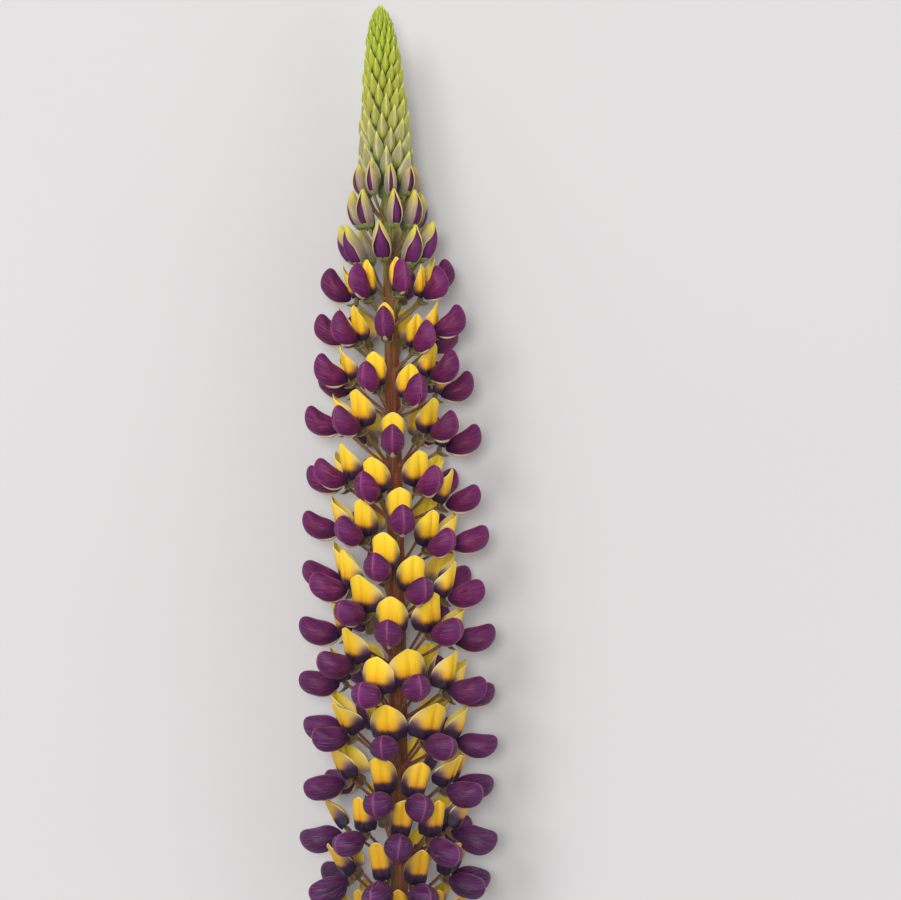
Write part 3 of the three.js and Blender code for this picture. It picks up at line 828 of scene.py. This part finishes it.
def wing(look, side):
    """One wing petal: a bowl whose margin lies on the floret's middle plane."""
    margin = look.full * np.array(WING_FULL) + (1 - look.full) * np.array(WING_YOUNG)
    outline = flat_curve(margin * [1, look.stature], WING_SIDES, closed=True)
    # it runs backwards, so that the grid's normals point away from the middle plane
    ring = np.array(WING_RINGS)[:, None]
    flat = WING_POLE + ring[..., None] * (outline[::-1] - WING_POLE)
    along, height = flat[..., 0], flat[..., 1]
    gap = look.notch * spot(flat, *WING_NOTCH) + look.mouth * spot(flat, *WING_MOUTH)
    lip = WING_LIP * np.exp(-((1 - ring) / WING_LIP_RUN) ** 2)
    swell = WING_HALF * look.plump * (1 - ring ** 2.3) ** 0.76
    ripple = WING_RIPPLE * (1 - ring ** 4) * np.sin(0.55 * along + look.phase[0] + side)
    ripple = ripple * np.sin(0.6 * height + look.phase[1])
    across = gap + lip + swell + ripple
    wave = WING_WAVE * np.sin(0.4 * along + look.phase[2]) * ring
    part = math.radians(look.parting)
    out = along - WING_HINGE
    grid = joined(
        WING_HINGE + out * math.cos(part) - across * math.sin(part) * WING_YIELD,
        across + np.maximum(out, 0) * math.sin(part),
        height + wave,
    )
    points, faces, _ = thick_sheet(grid, WING_THICKNESS, wrap=True, closed_end=True)
    foot = flat - WING_BASE
    fan = np.arctan2(foot[..., 1], foot[..., 0] + 1.5)
    far = np.hypot(foot[..., 0], foot[..., 1]) / WING_LENGTH
    marks = joined(fan + side, far, ring).reshape(-1, 3)
    middle = [[side, 0.5, 0.1]]
    if side < 0:
        points = points * [1, -1, 1]
        faces = [face[::-1] for face in faces]
    return points, faces, np.vstack([marks, marks, middle, middle])


def banner(look, angle):
    """The banner petal: a claw, then a blade whose side lobes fold back from a furrowed face.
    Its last value is 1 for the points of that face and 0 for the others."""
    length = BANNER_CLAW + BANNER_LENGTH * look.tall
    share = 1 - (1 - np.linspace(0, 1, BANNER_ROWS)[:, None]) ** 1.25
    at = share * length
    # its middle line rises from the claw, and curls back towards the tip
    fine = np.linspace(0, length, BANNER_STEPS)
    blade = np.clip((fine - BANNER_CLAW) / (length - BANNER_CLAW), 0, 1)
    tilt = BANNER_CLAW_TILT + (angle - BANNER_CLAW_TILT) * eased(fine / BANNER_CLAW)
    tilt = np.radians(tilt + look.curl * blade ** 1.6)
    x, z = (np.interp(at, fine, root + np.cumsum(run) * fine[1])
            for root, run in zip(BANNER_ROOT, (np.cos(tilt), np.sin(tilt))))
    tilt = np.interp(at, fine, tilt)
    blade = np.clip((at - BANNER_CLAW) / (length - BANNER_CLAW), 0, 1)
    full = look.dome * table_at(BANNER_DOME, share) + (1 - look.dome) * table_at(BANNER_FULL, share)
    half = look.width * (look.open * full + (1 - look.open) * table_at(BANNER_YOUNG, share))
    # from the middle outwards each row runs sideways, then turns back
    reach = np.linspace(0, 1, FOLD_STEPS + 1)
    stride = half / FOLD_STEPS
    theta = np.radians(look.fold * (1 - 0.35 * share ** 2))
    theta = theta * eased((half * reach - look.flat) / BANNER_FOLD_RUN)
    out = np.cumsum(np.cos(theta) * stride, axis=1) - stride
    back = np.cumsum(np.sin(theta) * stride, axis=1)
    sides = np.linspace(-1, 1, BANNER_COLUMNS)
    aside = np.abs(sides)
    across, behind = (np.stack([np.interp(aside, reach, row) for row in rows])
                      for rows in (out, back))
    from_middle = aside * half
    furrow = sum(high * np.exp(-((from_middle - middle) / run) ** 2)
                 for high, middle, run in BANNER_FURROW)
    flutter = BANNER_FLUTTER * np.sin(5 * share + 3 * np.sign(sides) + look.phase[3])
    behind = behind + furrow * np.sin(np.pi * blade ** 0.7) ** 0.5 + flutter * aside ** 3 * blade
    sink = BANNER_SINK * aside ** 2.2 * (1 - blade) * np.clip(at / BANNER_CLAW, 0, 1)
    grid = joined(
        x - np.sin(tilt) * behind - np.cos(tilt) * sink,
        across * np.sign(sides),
        z + np.cos(tilt) * behind - np.sin(tilt) * sink,
    )
    points, faces, backs = thick_sheet(grid, BANNER_THICKNESS)
    wide = from_middle / look.width * np.sign(sides)
    marks = joined(wide, share, np.maximum(aside, share ** 3)).reshape(-1, 3)
    return points, faces, np.vstack([marks, marks]), 1 - backs


def keel(look):
    """The keel petal, a pale boat between the wings."""
    share = np.linspace(0, 1, KEEL_ROWS)
    line = flat_curve(KEEL_LINE, KEEL_ROWS)
    line[:, 1] -= look.drop * np.sin(np.pi * np.clip(share * 1.1, 0, 1))
    half = table_at(KEEL_HALVES, share)
    points, faces = tube(line, half, half * 0.8)
    marks = joined(np.zeros(TUBE_SIDES), share[:, None], 0.0)
    return points, faces, marks.reshape(-1, 3)


def calyx(scale=1.0, lower=2.2, upper=1.3, mouth=0.3):
    """The two-lipped calyx: a bell with a long lip under the wings and a short one behind."""
    turn = around(CALYX_COLUMNS)[::-1]
    share = np.linspace(0, 1, CALYX_ROWS)[:, None]
    up = np.cos(turn)
    lip = lower * np.maximum(0, -up) ** 2.2 + upper * np.maximum(0, up) ** 1.6
    teeth = CALYX_TEETH * np.cos(6 * turn) * (up > 0)
    bell = 0.75 + 1.75 * np.sin(np.clip(share * 1.5, 0, 1) * math.pi / 2)
    flare = mouth * share ** 1.5
    grid = joined(
        share * (CALYX_LENGTH + lip + teeth) - 0.2,
        np.sin(turn) * (bell + flare * 1.4),
        up * (bell + flare * np.where(up < 0, 3.4, 0.9)),
    )
    points, faces, _ = thick_sheet(grid, CALYX_THICKNESS, wrap=True)
    marks = joined(turn / (2 * math.pi), share, share ** 2).reshape(-1, 3)
    return points * scale, faces, np.vstack([marks, marks])


def look_of(tier, bearing, dice):
    """How one floret looks: by its tier, with a little of its own."""
    look = SimpleNamespace(own=dice.random(), phase=dice.uniform(0, 2 * math.pi, 4))
    for name, table in BY_TIER.items():
        setattr(look, name, table_at(table, tier))
    look.age = (tier - 1) / (len(TIERS) - 1)
    turn = math.radians(bearing)
    look.width *= dice.uniform(0.95, 1.06)
    look.fold += dice.uniform(-10, 10)
    if tier in DOMED_TIERS and abs(bearing) < DOMED_BEARING:
        look.fold -= DOME_UNFOLDING
    look.tall = dice.uniform(0.95, 1.04)
    look.curl = dice.uniform(2, 16)
    look.drop += dice.uniform(-0.15, 0.15)
    look.notch = dice.uniform(0.2, 0.36)
    look.mouth = dice.uniform(0.3, 0.8)
    look.parting *= dice.uniform(0, 1.3)
    look.plump *= dice.uniform(0.97, 1.05)
    look.tilt = dice.uniform(-4, 4)
    if tier >= FIRST_LEANING_TIER and math.cos(turn) < LEANING_COSINE:
        look.tilt = dice.uniform(-22, 4)
    look.stature *= 1 + 0.06 * look.slack * dice.uniform(-1, 1)
    roll = (OWN_ROLL[0] + OWN_ROLL[1] * look.slack) * dice.uniform(-1, 1)
    look.roll = math.radians(roll + SIDE_ROLL * math.sin(turn))
    from_top = abs((bearing + 180) % 360 - 180)
    look.droop = math.radians(look.droop * (0.6 + 0.8 * look.own)
                              * np.interp(from_top, FLOOR_BEARINGS, (1, 0)))
    return look


def part_of(seat, look, part, third=0.0, droop=0.0):
    """A part of a floret at its seat: its points, its faces, its marks and the floret's marks,
    the last of which is third."""
    points, faces, petal = part
    # turned about the floret's foot, its outer end sinks from the banner
    points = turned(turned(points, -droop) * seat.size, look.roll, 1, 2)
    floret = np.broadcast_to(joined(look.age, look.own, third), (len(points), 3))
    return seated(points, seat), faces, petal, floret


def open_tier(number, seats, finishes, dice):
    """The florets of one tier, as pieces by finish."""
    wings, banners, keels, calyxes, stalks = ([] for _ in range(5))
    for seat in seats:
        look = look_of(number, seat.bearing, dice)
        wings += [part_of(seat, look, wing(look, side), droop=look.droop) for side in (1, -1)]
        angle = max(BANNER_RISE - seat.rise, BANNER_LEAST_ANGLE) + look.tilt
        *blade, front = banner(look, angle)
        banners.append(part_of(seat, look, blade, front))
        keels.append(part_of(seat, look, keel(look), droop=look.droop))
        calyxes.append(part_of(seat, look, calyx()))
        stalks.append((seat, look))
    name = f"{number:02d}"
    heaped(f"wing_petals_{name}", wings, finishes.wing, "wing_petals", f"floret_tier_{name}")
    heaped(f"banner_petals_{name}", banners, finishes.banner, "banner_petals")
    heaped(f"keel_petals_{name}", keels, finishes.keel, "folded_petals")
    heaped(f"calyxes_{name}", calyxes, finishes.calyx, "calyx_green")
    stalk_piece(f"flower_stalks_{name}", stalks, finishes.stalk)


# ---- stalks: each follows a line from the stem to its calyx ----

STALK_POINTS = 9
STALK_SIDES = 10
STALK_RADIUS = 0.6
STALK_SINK = 1.6  # how far its foot is in the stem
STALK_ARCH = 0.45
STALK_FOOT_SWELL = 0.75
STALK_END_SWELL = 0.3


def new_tree(name, inputs):
    """A geometry tree and its inputs, which have these names and values."""
    tree = bpy.data.node_groups.new(name, "GeometryNodeTree")
    tree.interface.new_socket("Geometry", in_out="INPUT", socket_type="NodeSocketGeometry")
    for label, value in inputs.items():
        kind = "NodeSocketInt" if isinstance(value, int) else "NodeSocketFloat"
        socket = tree.interface.new_socket(label, in_out="INPUT", socket_type=kind)
        socket.default_value = value
    tree.interface.new_socket("Geometry", in_out="OUTPUT", socket_type="NodeSocketGeometry")
    return tree, tree.nodes.new("NodeGroupInput").outputs


def end_tree(tree, instances, material):
    real = made(tree, "GeometryNodeRealizeInstances", {0: instances})
    painted = made(tree, "GeometryNodeSetMaterial", {0: real, "Material": material})
    add(tree, "NodeGroupOutput", {0: painted})
    return tree


def grown(mesh, tree):
    """The plain mesh that a tree makes of a mesh."""
    holder = placed(tree.name, mesh)
    holder.modifiers.new(tree.name, "NODES").node_group = tree
    depsgraph = bpy.context.evaluated_depsgraph_get()
    result = bpy.data.meshes.new_from_object(holder.evaluated_get(depsgraph),
                                             preserve_all_data_layers=True, depsgraph=depsgraph)
    holder.modifiers.clear()
    bpy.data.objects.remove(holder)
    result.shade_smooth()
    return result


@functools.lru_cache(maxsize=None)
def stalk_tree(material):
    """Tubes along the edges of a mesh, as thick as its mark says."""
    tree, inputs = new_tree("stalks", {"Sides": STALK_SIDES, "Radius": STALK_RADIUS * MM})
    lines = made(tree, "GeometryNodeMeshToCurve", {0: inputs["Geometry"]})
    thick = made(tree, "GeometryNodeInputNamedAttribute", {"Name": "thickness"}, data_type="FLOAT")
    section = made(tree, "GeometryNodeCurvePrimitiveCircle", {"Resolution": inputs["Sides"]})
    tubes = made(tree, "GeometryNodeCurveToMesh",
                 {"Curve": lines, "Profile Curve": section, "Fill Caps": True,
                  "Scale": times(thick, inputs["Radius"])})
    return end_tree(tree, tubes, material)


def stalk_piece(name, stalks, material):
    """The stalks of a tier: each leaves the stem at a small swelling and arches to its calyx."""
    points, florets = [], []
    for seat, look in stalks:
        root = np.array(seat.root)
        run = root / np.linalg.norm(root)
        start = root + run * STALK_SINK
        middle = root * 0.5 + np.array([-run[1], run[0]]) * STALK_ARCH
        line = flat_curve((start, root, middle, (0, 0), (0.9, 0)), STALK_POINTS)
        points.append(laid(seated(joined(line[:, 0], 0.0, line[:, 1]), seat)))
        florets += [(look.age, look.own, 0)] * STALK_POINTS
    share = np.tile(np.linspace(0, 1, STALK_POINTS), len(stalks))
    points = np.vstack(points)
    edges = [(i, i + 1) for i in range(len(points) - 1) if (i + 1) % STALK_POINTS]
    mesh = bpy.data.meshes.new(name)
    mesh.from_pydata(points.tolist(), edges, [])
    thickness = 1 + STALK_FOOT_SWELL * np.exp(-share / 0.09) + STALK_END_SWELL * share ** 4
    attribute = mesh.attributes.new("thickness", "FLOAT", "POINT")
    attribute.data.foreach_set("value", thickness.astype(np.float32))
    mark_points(mesh, {"petal": joined(share, 0.0, 0.0), "floret": florets})
    piece_of(name, grown(mesh, stalk_tree(material)), "stem_skin")


# ---- florets about to open ----

POD_SHAPE = ((0, 0.32), (0.1, 0.66), (0.24, 0.93), (0.4, 1), (0.56, 0.93), (0.72, 0.73),
             (0.86, 0.44), (0.95, 0.2), (1, 0.06))
# Of each tier: how much longer and how much thinner, how wide its slits, how far rolled.
POD_LOOKS = ((1.12, 0.8, 0.22, 24), (1.1, 0.86, 0.46, 10), (1.06, 0.98, 0.8, 2))
POD_ROWS = 15
POD_COLUMNS = 19
POD_SIDES = 16
POD_OWN_ROLL = 12
POD_THICKNESS = 0.3
FLANK_OPENING = 0.8
POD_CALYX_WIDTH = 7.8


def pod_line(seat, share):
    """The middle line of a closed floret: it bellies outwards, and its tip hooks to the stem."""
    hook = 1.4 * share ** 3 - 0.9 * np.sin(np.pi * share) * (1 - 0.3 * share)
    return np.hstack([share * seat.length, hook])


def pod_wings(seat):
    share = np.linspace(0.04, 0.95, POD_ROWS)[:, None]
    half = table_at(POD_SHAPE, share) * seat.width / 2
    points, faces = tube(pod_line(seat, share), half * 0.84, half, POD_SIDES)
    marks = joined(around(POD_SIDES) / math.pi, share * 0.7 + 0.3, 0.0)
    return points, faces, marks.reshape(-1, 3)


def pod_banner(seat, slit):
    """The banner still folded round the wings, open along a slit on its outer side."""
    share = np.linspace(0, 1.02, POD_ROWS)[:, None]
    half = table_at(POD_SHAPE, share) * seat.width / 2 + 0.3
    line = pod_line(seat, share)
    sides = np.linspace(1, -1, POD_COLUMNS)
    opening = slit * np.clip((1.03 - share) * 2, 0, 1) ** 0.8 * np.clip(share * 4 + 0.4, 0, 1)
    turn = sides * (math.pi - opening - 0.04)
    half = half * (1 + 0.12 * np.abs(sides) ** 6)
    grid = joined(line[:, :1], np.sin(turn) * half * 0.92, line[:, 1:] + np.cos(turn) * half * 1.06)
    points, faces, _ = thick_sheet(grid, POD_THICKNESS)
    marks = joined(sides, share, np.abs(sides) ** 3).reshape(-1, 3)
    return points, faces, np.vstack([marks, marks])


def pod_tier(number, seats, finishes, dice):
    """The florets about to open of one tier, as pieces by finish."""
    wings, banners, calyxes, stalks = ([] for _ in range(4))
    stretch, slender, slits, rolls = POD_LOOKS[number - 1]
    for seat in seats:
        look = SimpleNamespace(age=0.0, own=dice.random())
        flank = math.sin(math.radians(seat.bearing))
        look.roll = math.radians(dice.uniform(-POD_OWN_ROLL, POD_OWN_ROLL) - rolls * flank)
        slit = slits * (1 + FLANK_OPENING * abs(flank)) * dice.uniform(0.8, 1.15)
        seat.length *= stretch
        seat.width *= slender
        cup = calyx(seat.width / POD_CALYX_WIDTH, lower=1.3, mouth=0.35)
        wings.append(part_of(seat, look, pod_wings(seat), 1.0))
        banners.append(part_of(seat, look, pod_banner(seat, slit), 1.0))
        calyxes.append(part_of(seat, look, cup, 1.0))
        stalks.append((seat, look))
    node = f"opening_tier_{number}"
    heaped(f"folded_banners_{number}", banners, finishes.folded, "folded_petals", node)
    heaped(f"folded_wings_{number}", wings, finishes.wing, "wing_petals")
    heaped(f"bud_calyxes_{number}", calyxes, finishes.calyx, "calyx_green")
    stalk_piece(f"bud_stalks_{number}", stalks, finishes.stalk)


# ---- the cone of green buds ----

CONE_TOP = 0.95
CONE_SHOULDER = 4.95
CONE_SHOULDER_RUN = 5
CONE_SLOPE = 0.115
CONE_LENGTH = 67
CORE_LENGTH = 76
CORE_ROWS = 30
CORE_SIDES = 24
CORE_SHARE = 0.6  # of the half width of the cone
BUD_COUNT = 152
BUD_TURN = 137.508
BUD_PROFILE = ((0, 0.25), (0.14, 0.7), (0.34, 1), (0.56, 0.9), (0.78, 0.46), (0.93, 0.15))
BUD_TIP = (1, 0, 0.75)
BUD_HOOK = 0.55
BUD_KEEL = 0.16
BUD_SIDES = 8


def cone_half(place):
    return CONE_TOP + CONE_SHOULDER * (1 - np.exp(-place / CONE_SHOULDER_RUN)) + CONE_SLOPE * place


def bud_shape(material):
    """One bud of length 1 and half width 1 along +x, its tip hooked towards +z."""
    share, half = (column[:, None] for column in np.array(BUD_PROFILE).T)
    turn = around(BUD_SIDES)
    back = 1 + BUD_KEEL * np.exp(-((turn - math.pi) / 0.5) ** 2)
    grid = joined(share, half * np.sin(turn), BUD_HOOK * share ** 3 + half * np.cos(turn) * back)
    points = np.vstack([grid.reshape(-1, 3), [BUD_TIP]])
    rows = len(share)
    last = np.arange(BUD_SIDES) + (rows - 1) * BUD_SIDES
    faces = tube_faces(rows, BUD_SIDES, far_end=False)
    faces += [(a, b, rows * BUD_SIDES) for a, b in zip(last, np.roll(last, -1))]
    marks = joined(turn / math.pi, share, share).reshape(-1, 3)
    return mesh_of("bud", points, faces, {"petal": np.vstack([marks, [[1, 1, 1]]])}, material)


def bud_tree(material):
    """Buds in a spiral down the cone, each pressed up against the next."""
    tree, inputs = new_tree("buds_of_the_cone", {
        "Count": BUD_COUNT, "Turn": BUD_TURN, "First": 6.2, "Last": 78.0, "Crowding": 1.65,
        "Top Length": 5.8, "Foot Length": 13.8, "Top Width": 1.0, "Foot Width": 5.6,
        "Core Share": 0.46, "Tip Share": 0.97,
    })

    def between(low, high, share):
        return times_plus(less(inputs[high], inputs[low]), share, inputs[low])

    def outline(at):
        """The same as cone_half, in nodes."""
        fade = maths("EXPONENT", maths("DIVIDE", at, -CONE_SHOULDER_RUN))
        shoulder = times_plus(fade, -CONE_SHOULDER, CONE_SHOULDER + CONE_TOP)
        return times_plus(at, CONE_SLOPE, shoulder)

    # where each bud sits and how large it is
    index = made(tree, "GeometryNodeInputIndex")
    share = maths("DIVIDE", index, less(inputs["Count"], 1.0))
    place = between("First", "Last", power(share, inputs["Crowding"]))
    growth = power(maths("DIVIDE", place, inputs["Last"]), 0.75)
    luck = add(tree, "FunctionNodeRandomValue", {"Min": 0.0, "Max": 1.0, "Seed": SEED % 1000},
               data_type="FLOAT").outputs["Value"]
    length = times(between("Top Length", "Foot Length", growth), times_plus(luck, 0.2, 0.9))
    half = times(between("Top Width", "Foot Width", growth), 0.5)

    # how far it leans out: from the core to the outline of the cone
    radius = times(outline(place), inputs["Core Share"])
    tip_run = times(length, 0.9)
    tip_place = maths("MAXIMUM", less(place, tip_run), 0.0)
    tip_radius = times(outline(tip_place), inputs["Tip Share"])
    sway = times(times_plus(luck, 1.4, -0.1), growth)
    rise = maths("ARCTAN2", tip_run, plus(less(tip_radius, radius), sway))
    turn = maths("RADIANS", times(index, inputs["Turn"]))
    outwards = vector_of(tree, x=maths("SINE", turn), z=maths("COSINE", turn))
    tipwards = vector_of(tree, y=1.0)
    sine, cosine = maths("SINE", rise), maths("COSINE", rise)
    lengthwise = vectors("ADD", scaled(outwards, cosine), scaled(tipwards, sine))
    inwards = vectors("SUBTRACT", scaled(tipwards, cosine), scaled(outwards, sine))

    # its foot, from the bowed line of the spike
    rest = maths("MAXIMUM", times_plus(place, -1 / SPIKE_LENGTH, 1.0), 0.0)
    line = vector_of(tree, times(times(rest, rest), -BOW), times(place, -1.0),
                     times_plus(place, HEIGHT_GAIN / SPIKE_LENGTH, TIP_HEIGHT))
    foot = vectors("ADD", vectors("ADD", line, scaled(outwards, radius)), tuple(ORIGIN))
    points = made(tree, "GeometryNodePoints",
                  {"Count": inputs["Count"], "Position": scaled(foot, MM)})
    points = made(tree, "GeometryNodeStoreNamedAttribute",
                  {"Geometry": points, "Name": "floret", "Value": vector_of(tree, growth, luck)},
                  data_type="FLOAT_VECTOR", domain="POINT")
    facing = made(tree, "FunctionNodeAxesToRotation", {0: inwards, 1: lengthwise},
                  primary_axis="Z", secondary_axis="X")
    size = scaled(vector_of(tree, length, half, half), MM)
    buds = made(tree, "GeometryNodeInstanceOnPoints",
                {"Points": points, "Instance": inputs["Geometry"], "Rotation": facing,
                 "Scale": size})
    return end_tree(tree, buds, material)


def bud_cone(finishes):
    """The buds of the cone and the core that they sit on."""
    buds = grown(bud_shape(finishes.bud), bud_tree(finishes.bud))
    piece_of("green_buds", buds, "green_buds", "bud_cone")
    # the core under the buds, dark with painted shade
    place = np.concatenate([[1.2], np.linspace(2, CONE_LENGTH, CORE_ROWS), [CORE_LENGTH]])
    half = np.concatenate([[0.2], cone_half(place[1:-1]) * CORE_SHARE, [2]])
    grid = round_the_line(place[:, None], half[:, None], CORE_SIDES)
    core = mesh_of("bud_core", laid(grid.reshape(-1, 3)), tube_faces(len(place), CORE_SIDES), {},
                   finishes.core)
    piece_of("bud_core", core, "green_buds")
    return buds


# ---- the stem ----

STEM_ROWS = 240
STEM_SIDES = 60
STEM_RIBS = (10, 0.05)  # how many, how high
STEM_FINE_RIBS = (23, 0.02)
STEM_SWELLING = 0.05  # under each tier
STEM_SWELLING_BELOW = 14
STEM_SWELLING_RUN = 5
# The rings of the cut end, from its margin inwards: share of its half width, how far down, mark.
STEM_CUT = ((0.985, 0, 0.1), (0.9, -0.05, 0.3), (0.8, -0.3, 0.5), (0.5, -0.45, 0.8),
            (0.12, -0.65, 1))


def stem(finishes):
    """A ribbed stem, a little swollen where its tiers leave it, cut square at its foot."""
    place = np.linspace(STEM_TOP, STEM_LENGTH, STEM_ROWS)[:, None]
    turn = around(STEM_SIDES)
    ribs = (STEM_RIBS[1] * np.cos(STEM_RIBS[0] * turn + 0.012 * place)
            + STEM_FINE_RIBS[1] * np.cos(STEM_FINE_RIBS[0] * turn - 0.02 * place + 1))
    levels = np.array([level for level, *_ in TIERS]) + STEM_SWELLING_BELOW
    swell = np.exp(-((place - levels) / STEM_SWELLING_RUN) ** 2).sum(axis=1, keepdims=True)
    half = stem_radius(place) * (1 + ribs + STEM_SWELLING * swell)
    share, down, cut = np.array(STEM_CUT).T[..., None]
    mark = joined(turn / (2 * math.pi), np.vstack([place / STEM_LENGTH, np.ones_like(cut)]),
                  np.vstack([np.zeros_like(place), cut]))
    half = np.vstack([half, half[-1] * share])
    grid = round_the_line(np.vstack([place, STEM_LENGTH + down]), half, STEM_SIDES)
    mesh = mesh_of("stem", laid(grid.reshape(-1, 3)), tube_faces(len(grid), STEM_SIDES),
                   {"petal": mark.reshape(-1, 3)}, finishes.stem)
    piece_of("stem", mesh, "stem_skin", "flower_stem")
    return mesh


# ---- hairs ----

# How many on a square metre of skin, and their radius at the foot.
BUD_HAIRS = (900000.0, 0.018)
STEM_HAIRS = (400000.0, 0.025)
HAIR_LENGTH = 0.8
HAIR_LEAN = (0.0, 0.5, 0.0)  # towards the tip of the spike
HAIR_SCATTER = 0.35


def hairs(name, mesh, slot, finish, density, radius):
    """Short fine hairs that stand out of a surface, leaning to the tip of the spike."""
    tree, inputs = new_tree("hairs", {"Density": density, "Length": HAIR_LENGTH * MM,
                                      "Radius": radius * MM, "Seed": 7})
    spread = add(tree, "GeometryNodeDistributePointsOnFaces",
                 {"Mesh": inputs["Geometry"], "Density": inputs["Density"],
                  "Seed": inputs["Seed"]})
    scatter = add(tree, "FunctionNodeRandomValue",
                  {0: (-HAIR_SCATTER,) * 3, 1: (HAIR_SCATTER,) * 3}, data_type="FLOAT_VECTOR")
    leaning = vectors("ADD", spread.outputs["Normal"], HAIR_LEAN)
    leaning = vectors("ADD", leaning, scatter.outputs["Value"])
    facing = made(tree, "FunctionNodeAlignRotationToVector", {"Vector": leaning}, axis="Z")
    hair = add(tree, "GeometryNodeMeshCone",
               {"Vertices": 3, "Radius Top": 0.0, "Radius Bottom": inputs["Radius"],
                "Depth": inputs["Length"]})
    size = add(tree, "FunctionNodeRandomValue", {"Min": 0.55, "Max": 1.2}, data_type="FLOAT")
    coat = made(tree, "GeometryNodeInstanceOnPoints",
                {"Points": spread.outputs["Points"], "Instance": hair.outputs["Mesh"],
                 "Rotation": facing, "Scale": size.outputs["Value"]})
    end_tree(tree, coat, finish)
    piece_of(name, grown(mesh, tree), slot)


# ---- camera, light and floor ----

SENSOR = 36
VIEW_WIDTH = 378.4  # what the photograph takes in across, at the spike
VIEW_DISTANCE = 1600
VIEW_HEIGHT = 33  # where the stem's middle lies
VIEW_ASIDE = 21.6  # the picture's middle from the spike's line
VIEW_DOWN = 186.9  # and from its tip
# Name, place, width and power of each lamp. They stand round this aim, all in metres.
LAMPS = (
    ("key", (-2.0, 2.3, 3.9), 2.0, 93),
    ("top", (-0.35, 0.4, 4.4), 1.0, 76),
    ("fill", (3.2, -0.6, 3.0), 3.0, 20),
)
LAMP_AIM = (0, 0, 0.03)
SKY_STRENGTH = 0.47
FLOOR_HALF = 3.0


def camera_and_light():
    data = bpy.data.cameras.new("camera")
    data.sensor_width = SENSOR
    data.sensor_fit = "HORIZONTAL"
    data.lens = SENSOR * VIEW_DISTANCE / VIEW_WIDTH
    data.clip_end = 20
    camera = placed("camera", data)
    middle = np.array([VIEW_ASIDE, -VIEW_DOWN, VIEW_HEIGHT + VIEW_DISTANCE])
    camera.location = (middle + ORIGIN * [1, 1, 0]) * MM
    scene = bpy.context.scene
    scene.camera = camera

    for name, place, size, power_of_lamp in LAMPS:
        light = bpy.data.lights.new(name, "AREA")
        light.shape = "DISK"
        light.size = size
        light.energy = power_of_lamp
        lamp = placed(name, light)
        lamp.location = place
        lamp.rotation_euler = look_along(np.array(LAMP_AIM) - place)
    world = bpy.data.worlds.new("studio")
    world.use_nodes = True
    sky = world.node_tree.nodes["Background"].inputs
    sky["Color"].default_value = (1, 1, 1, 1)
    sky["Strength"].default_value = SKY_STRENGTH
    scene.world = world
    scene.view_settings.view_transform = "Standard"

    corners = [(x * FLOOR_HALF, y * FLOOR_HALF, 0) for x, y in ((-1, -1), (1, -1), (1, 1), (-1, 1))]
    floor = bpy.data.meshes.new("floor")
    floor.from_pydata(corners, [], [(0, 1, 2, 3)])
    floor.materials.append(floor_white())
    ground = placed("floor", floor)


def look_along(direction):
    """The turn that points a lamp's -z along a direction."""
    x, y, z = direction
    return (math.atan2(math.hypot(x, y), -z), 0, math.atan2(y, x) - math.pi / 2)


# ---- the spike ----

def main():
    camera_and_light()
    finishes = SimpleNamespace(
        wing=wing_violet(), banner=banner_yellow(), keel=keel_cream(), calyx=calyx_green(),
        stem=stem_skin(), stalk=stalk_skin(), folded=folded_cream(), bud=bud_green(),
        core=core_shade_green(), stem_hair=hair_silver("stem_hair", "A87C50", "80583A"),
        bud_hair=hair_silver("bud_hair", "E4E8C8", "C6CE9A"),
    )
    draws = solid_draws()
    dice = np.random.default_rng(SEED)
    for number, seats in enumerate(seats_of_florets(draws), 1):
        open_tier(number, seats, finishes, dice)
    for number, seats in enumerate(seats_of_pods(draws), 1):
        pod_tier(number, seats, finishes, dice)
    hairs("bud_hairs", bud_cone(finishes), "green_buds", finishes.bud_hair, *BUD_HAIRS)
    hairs("stem_hairs", stem(finishes), "stem_skin", finishes.stem_hair, *STEM_HAIRS)


main()
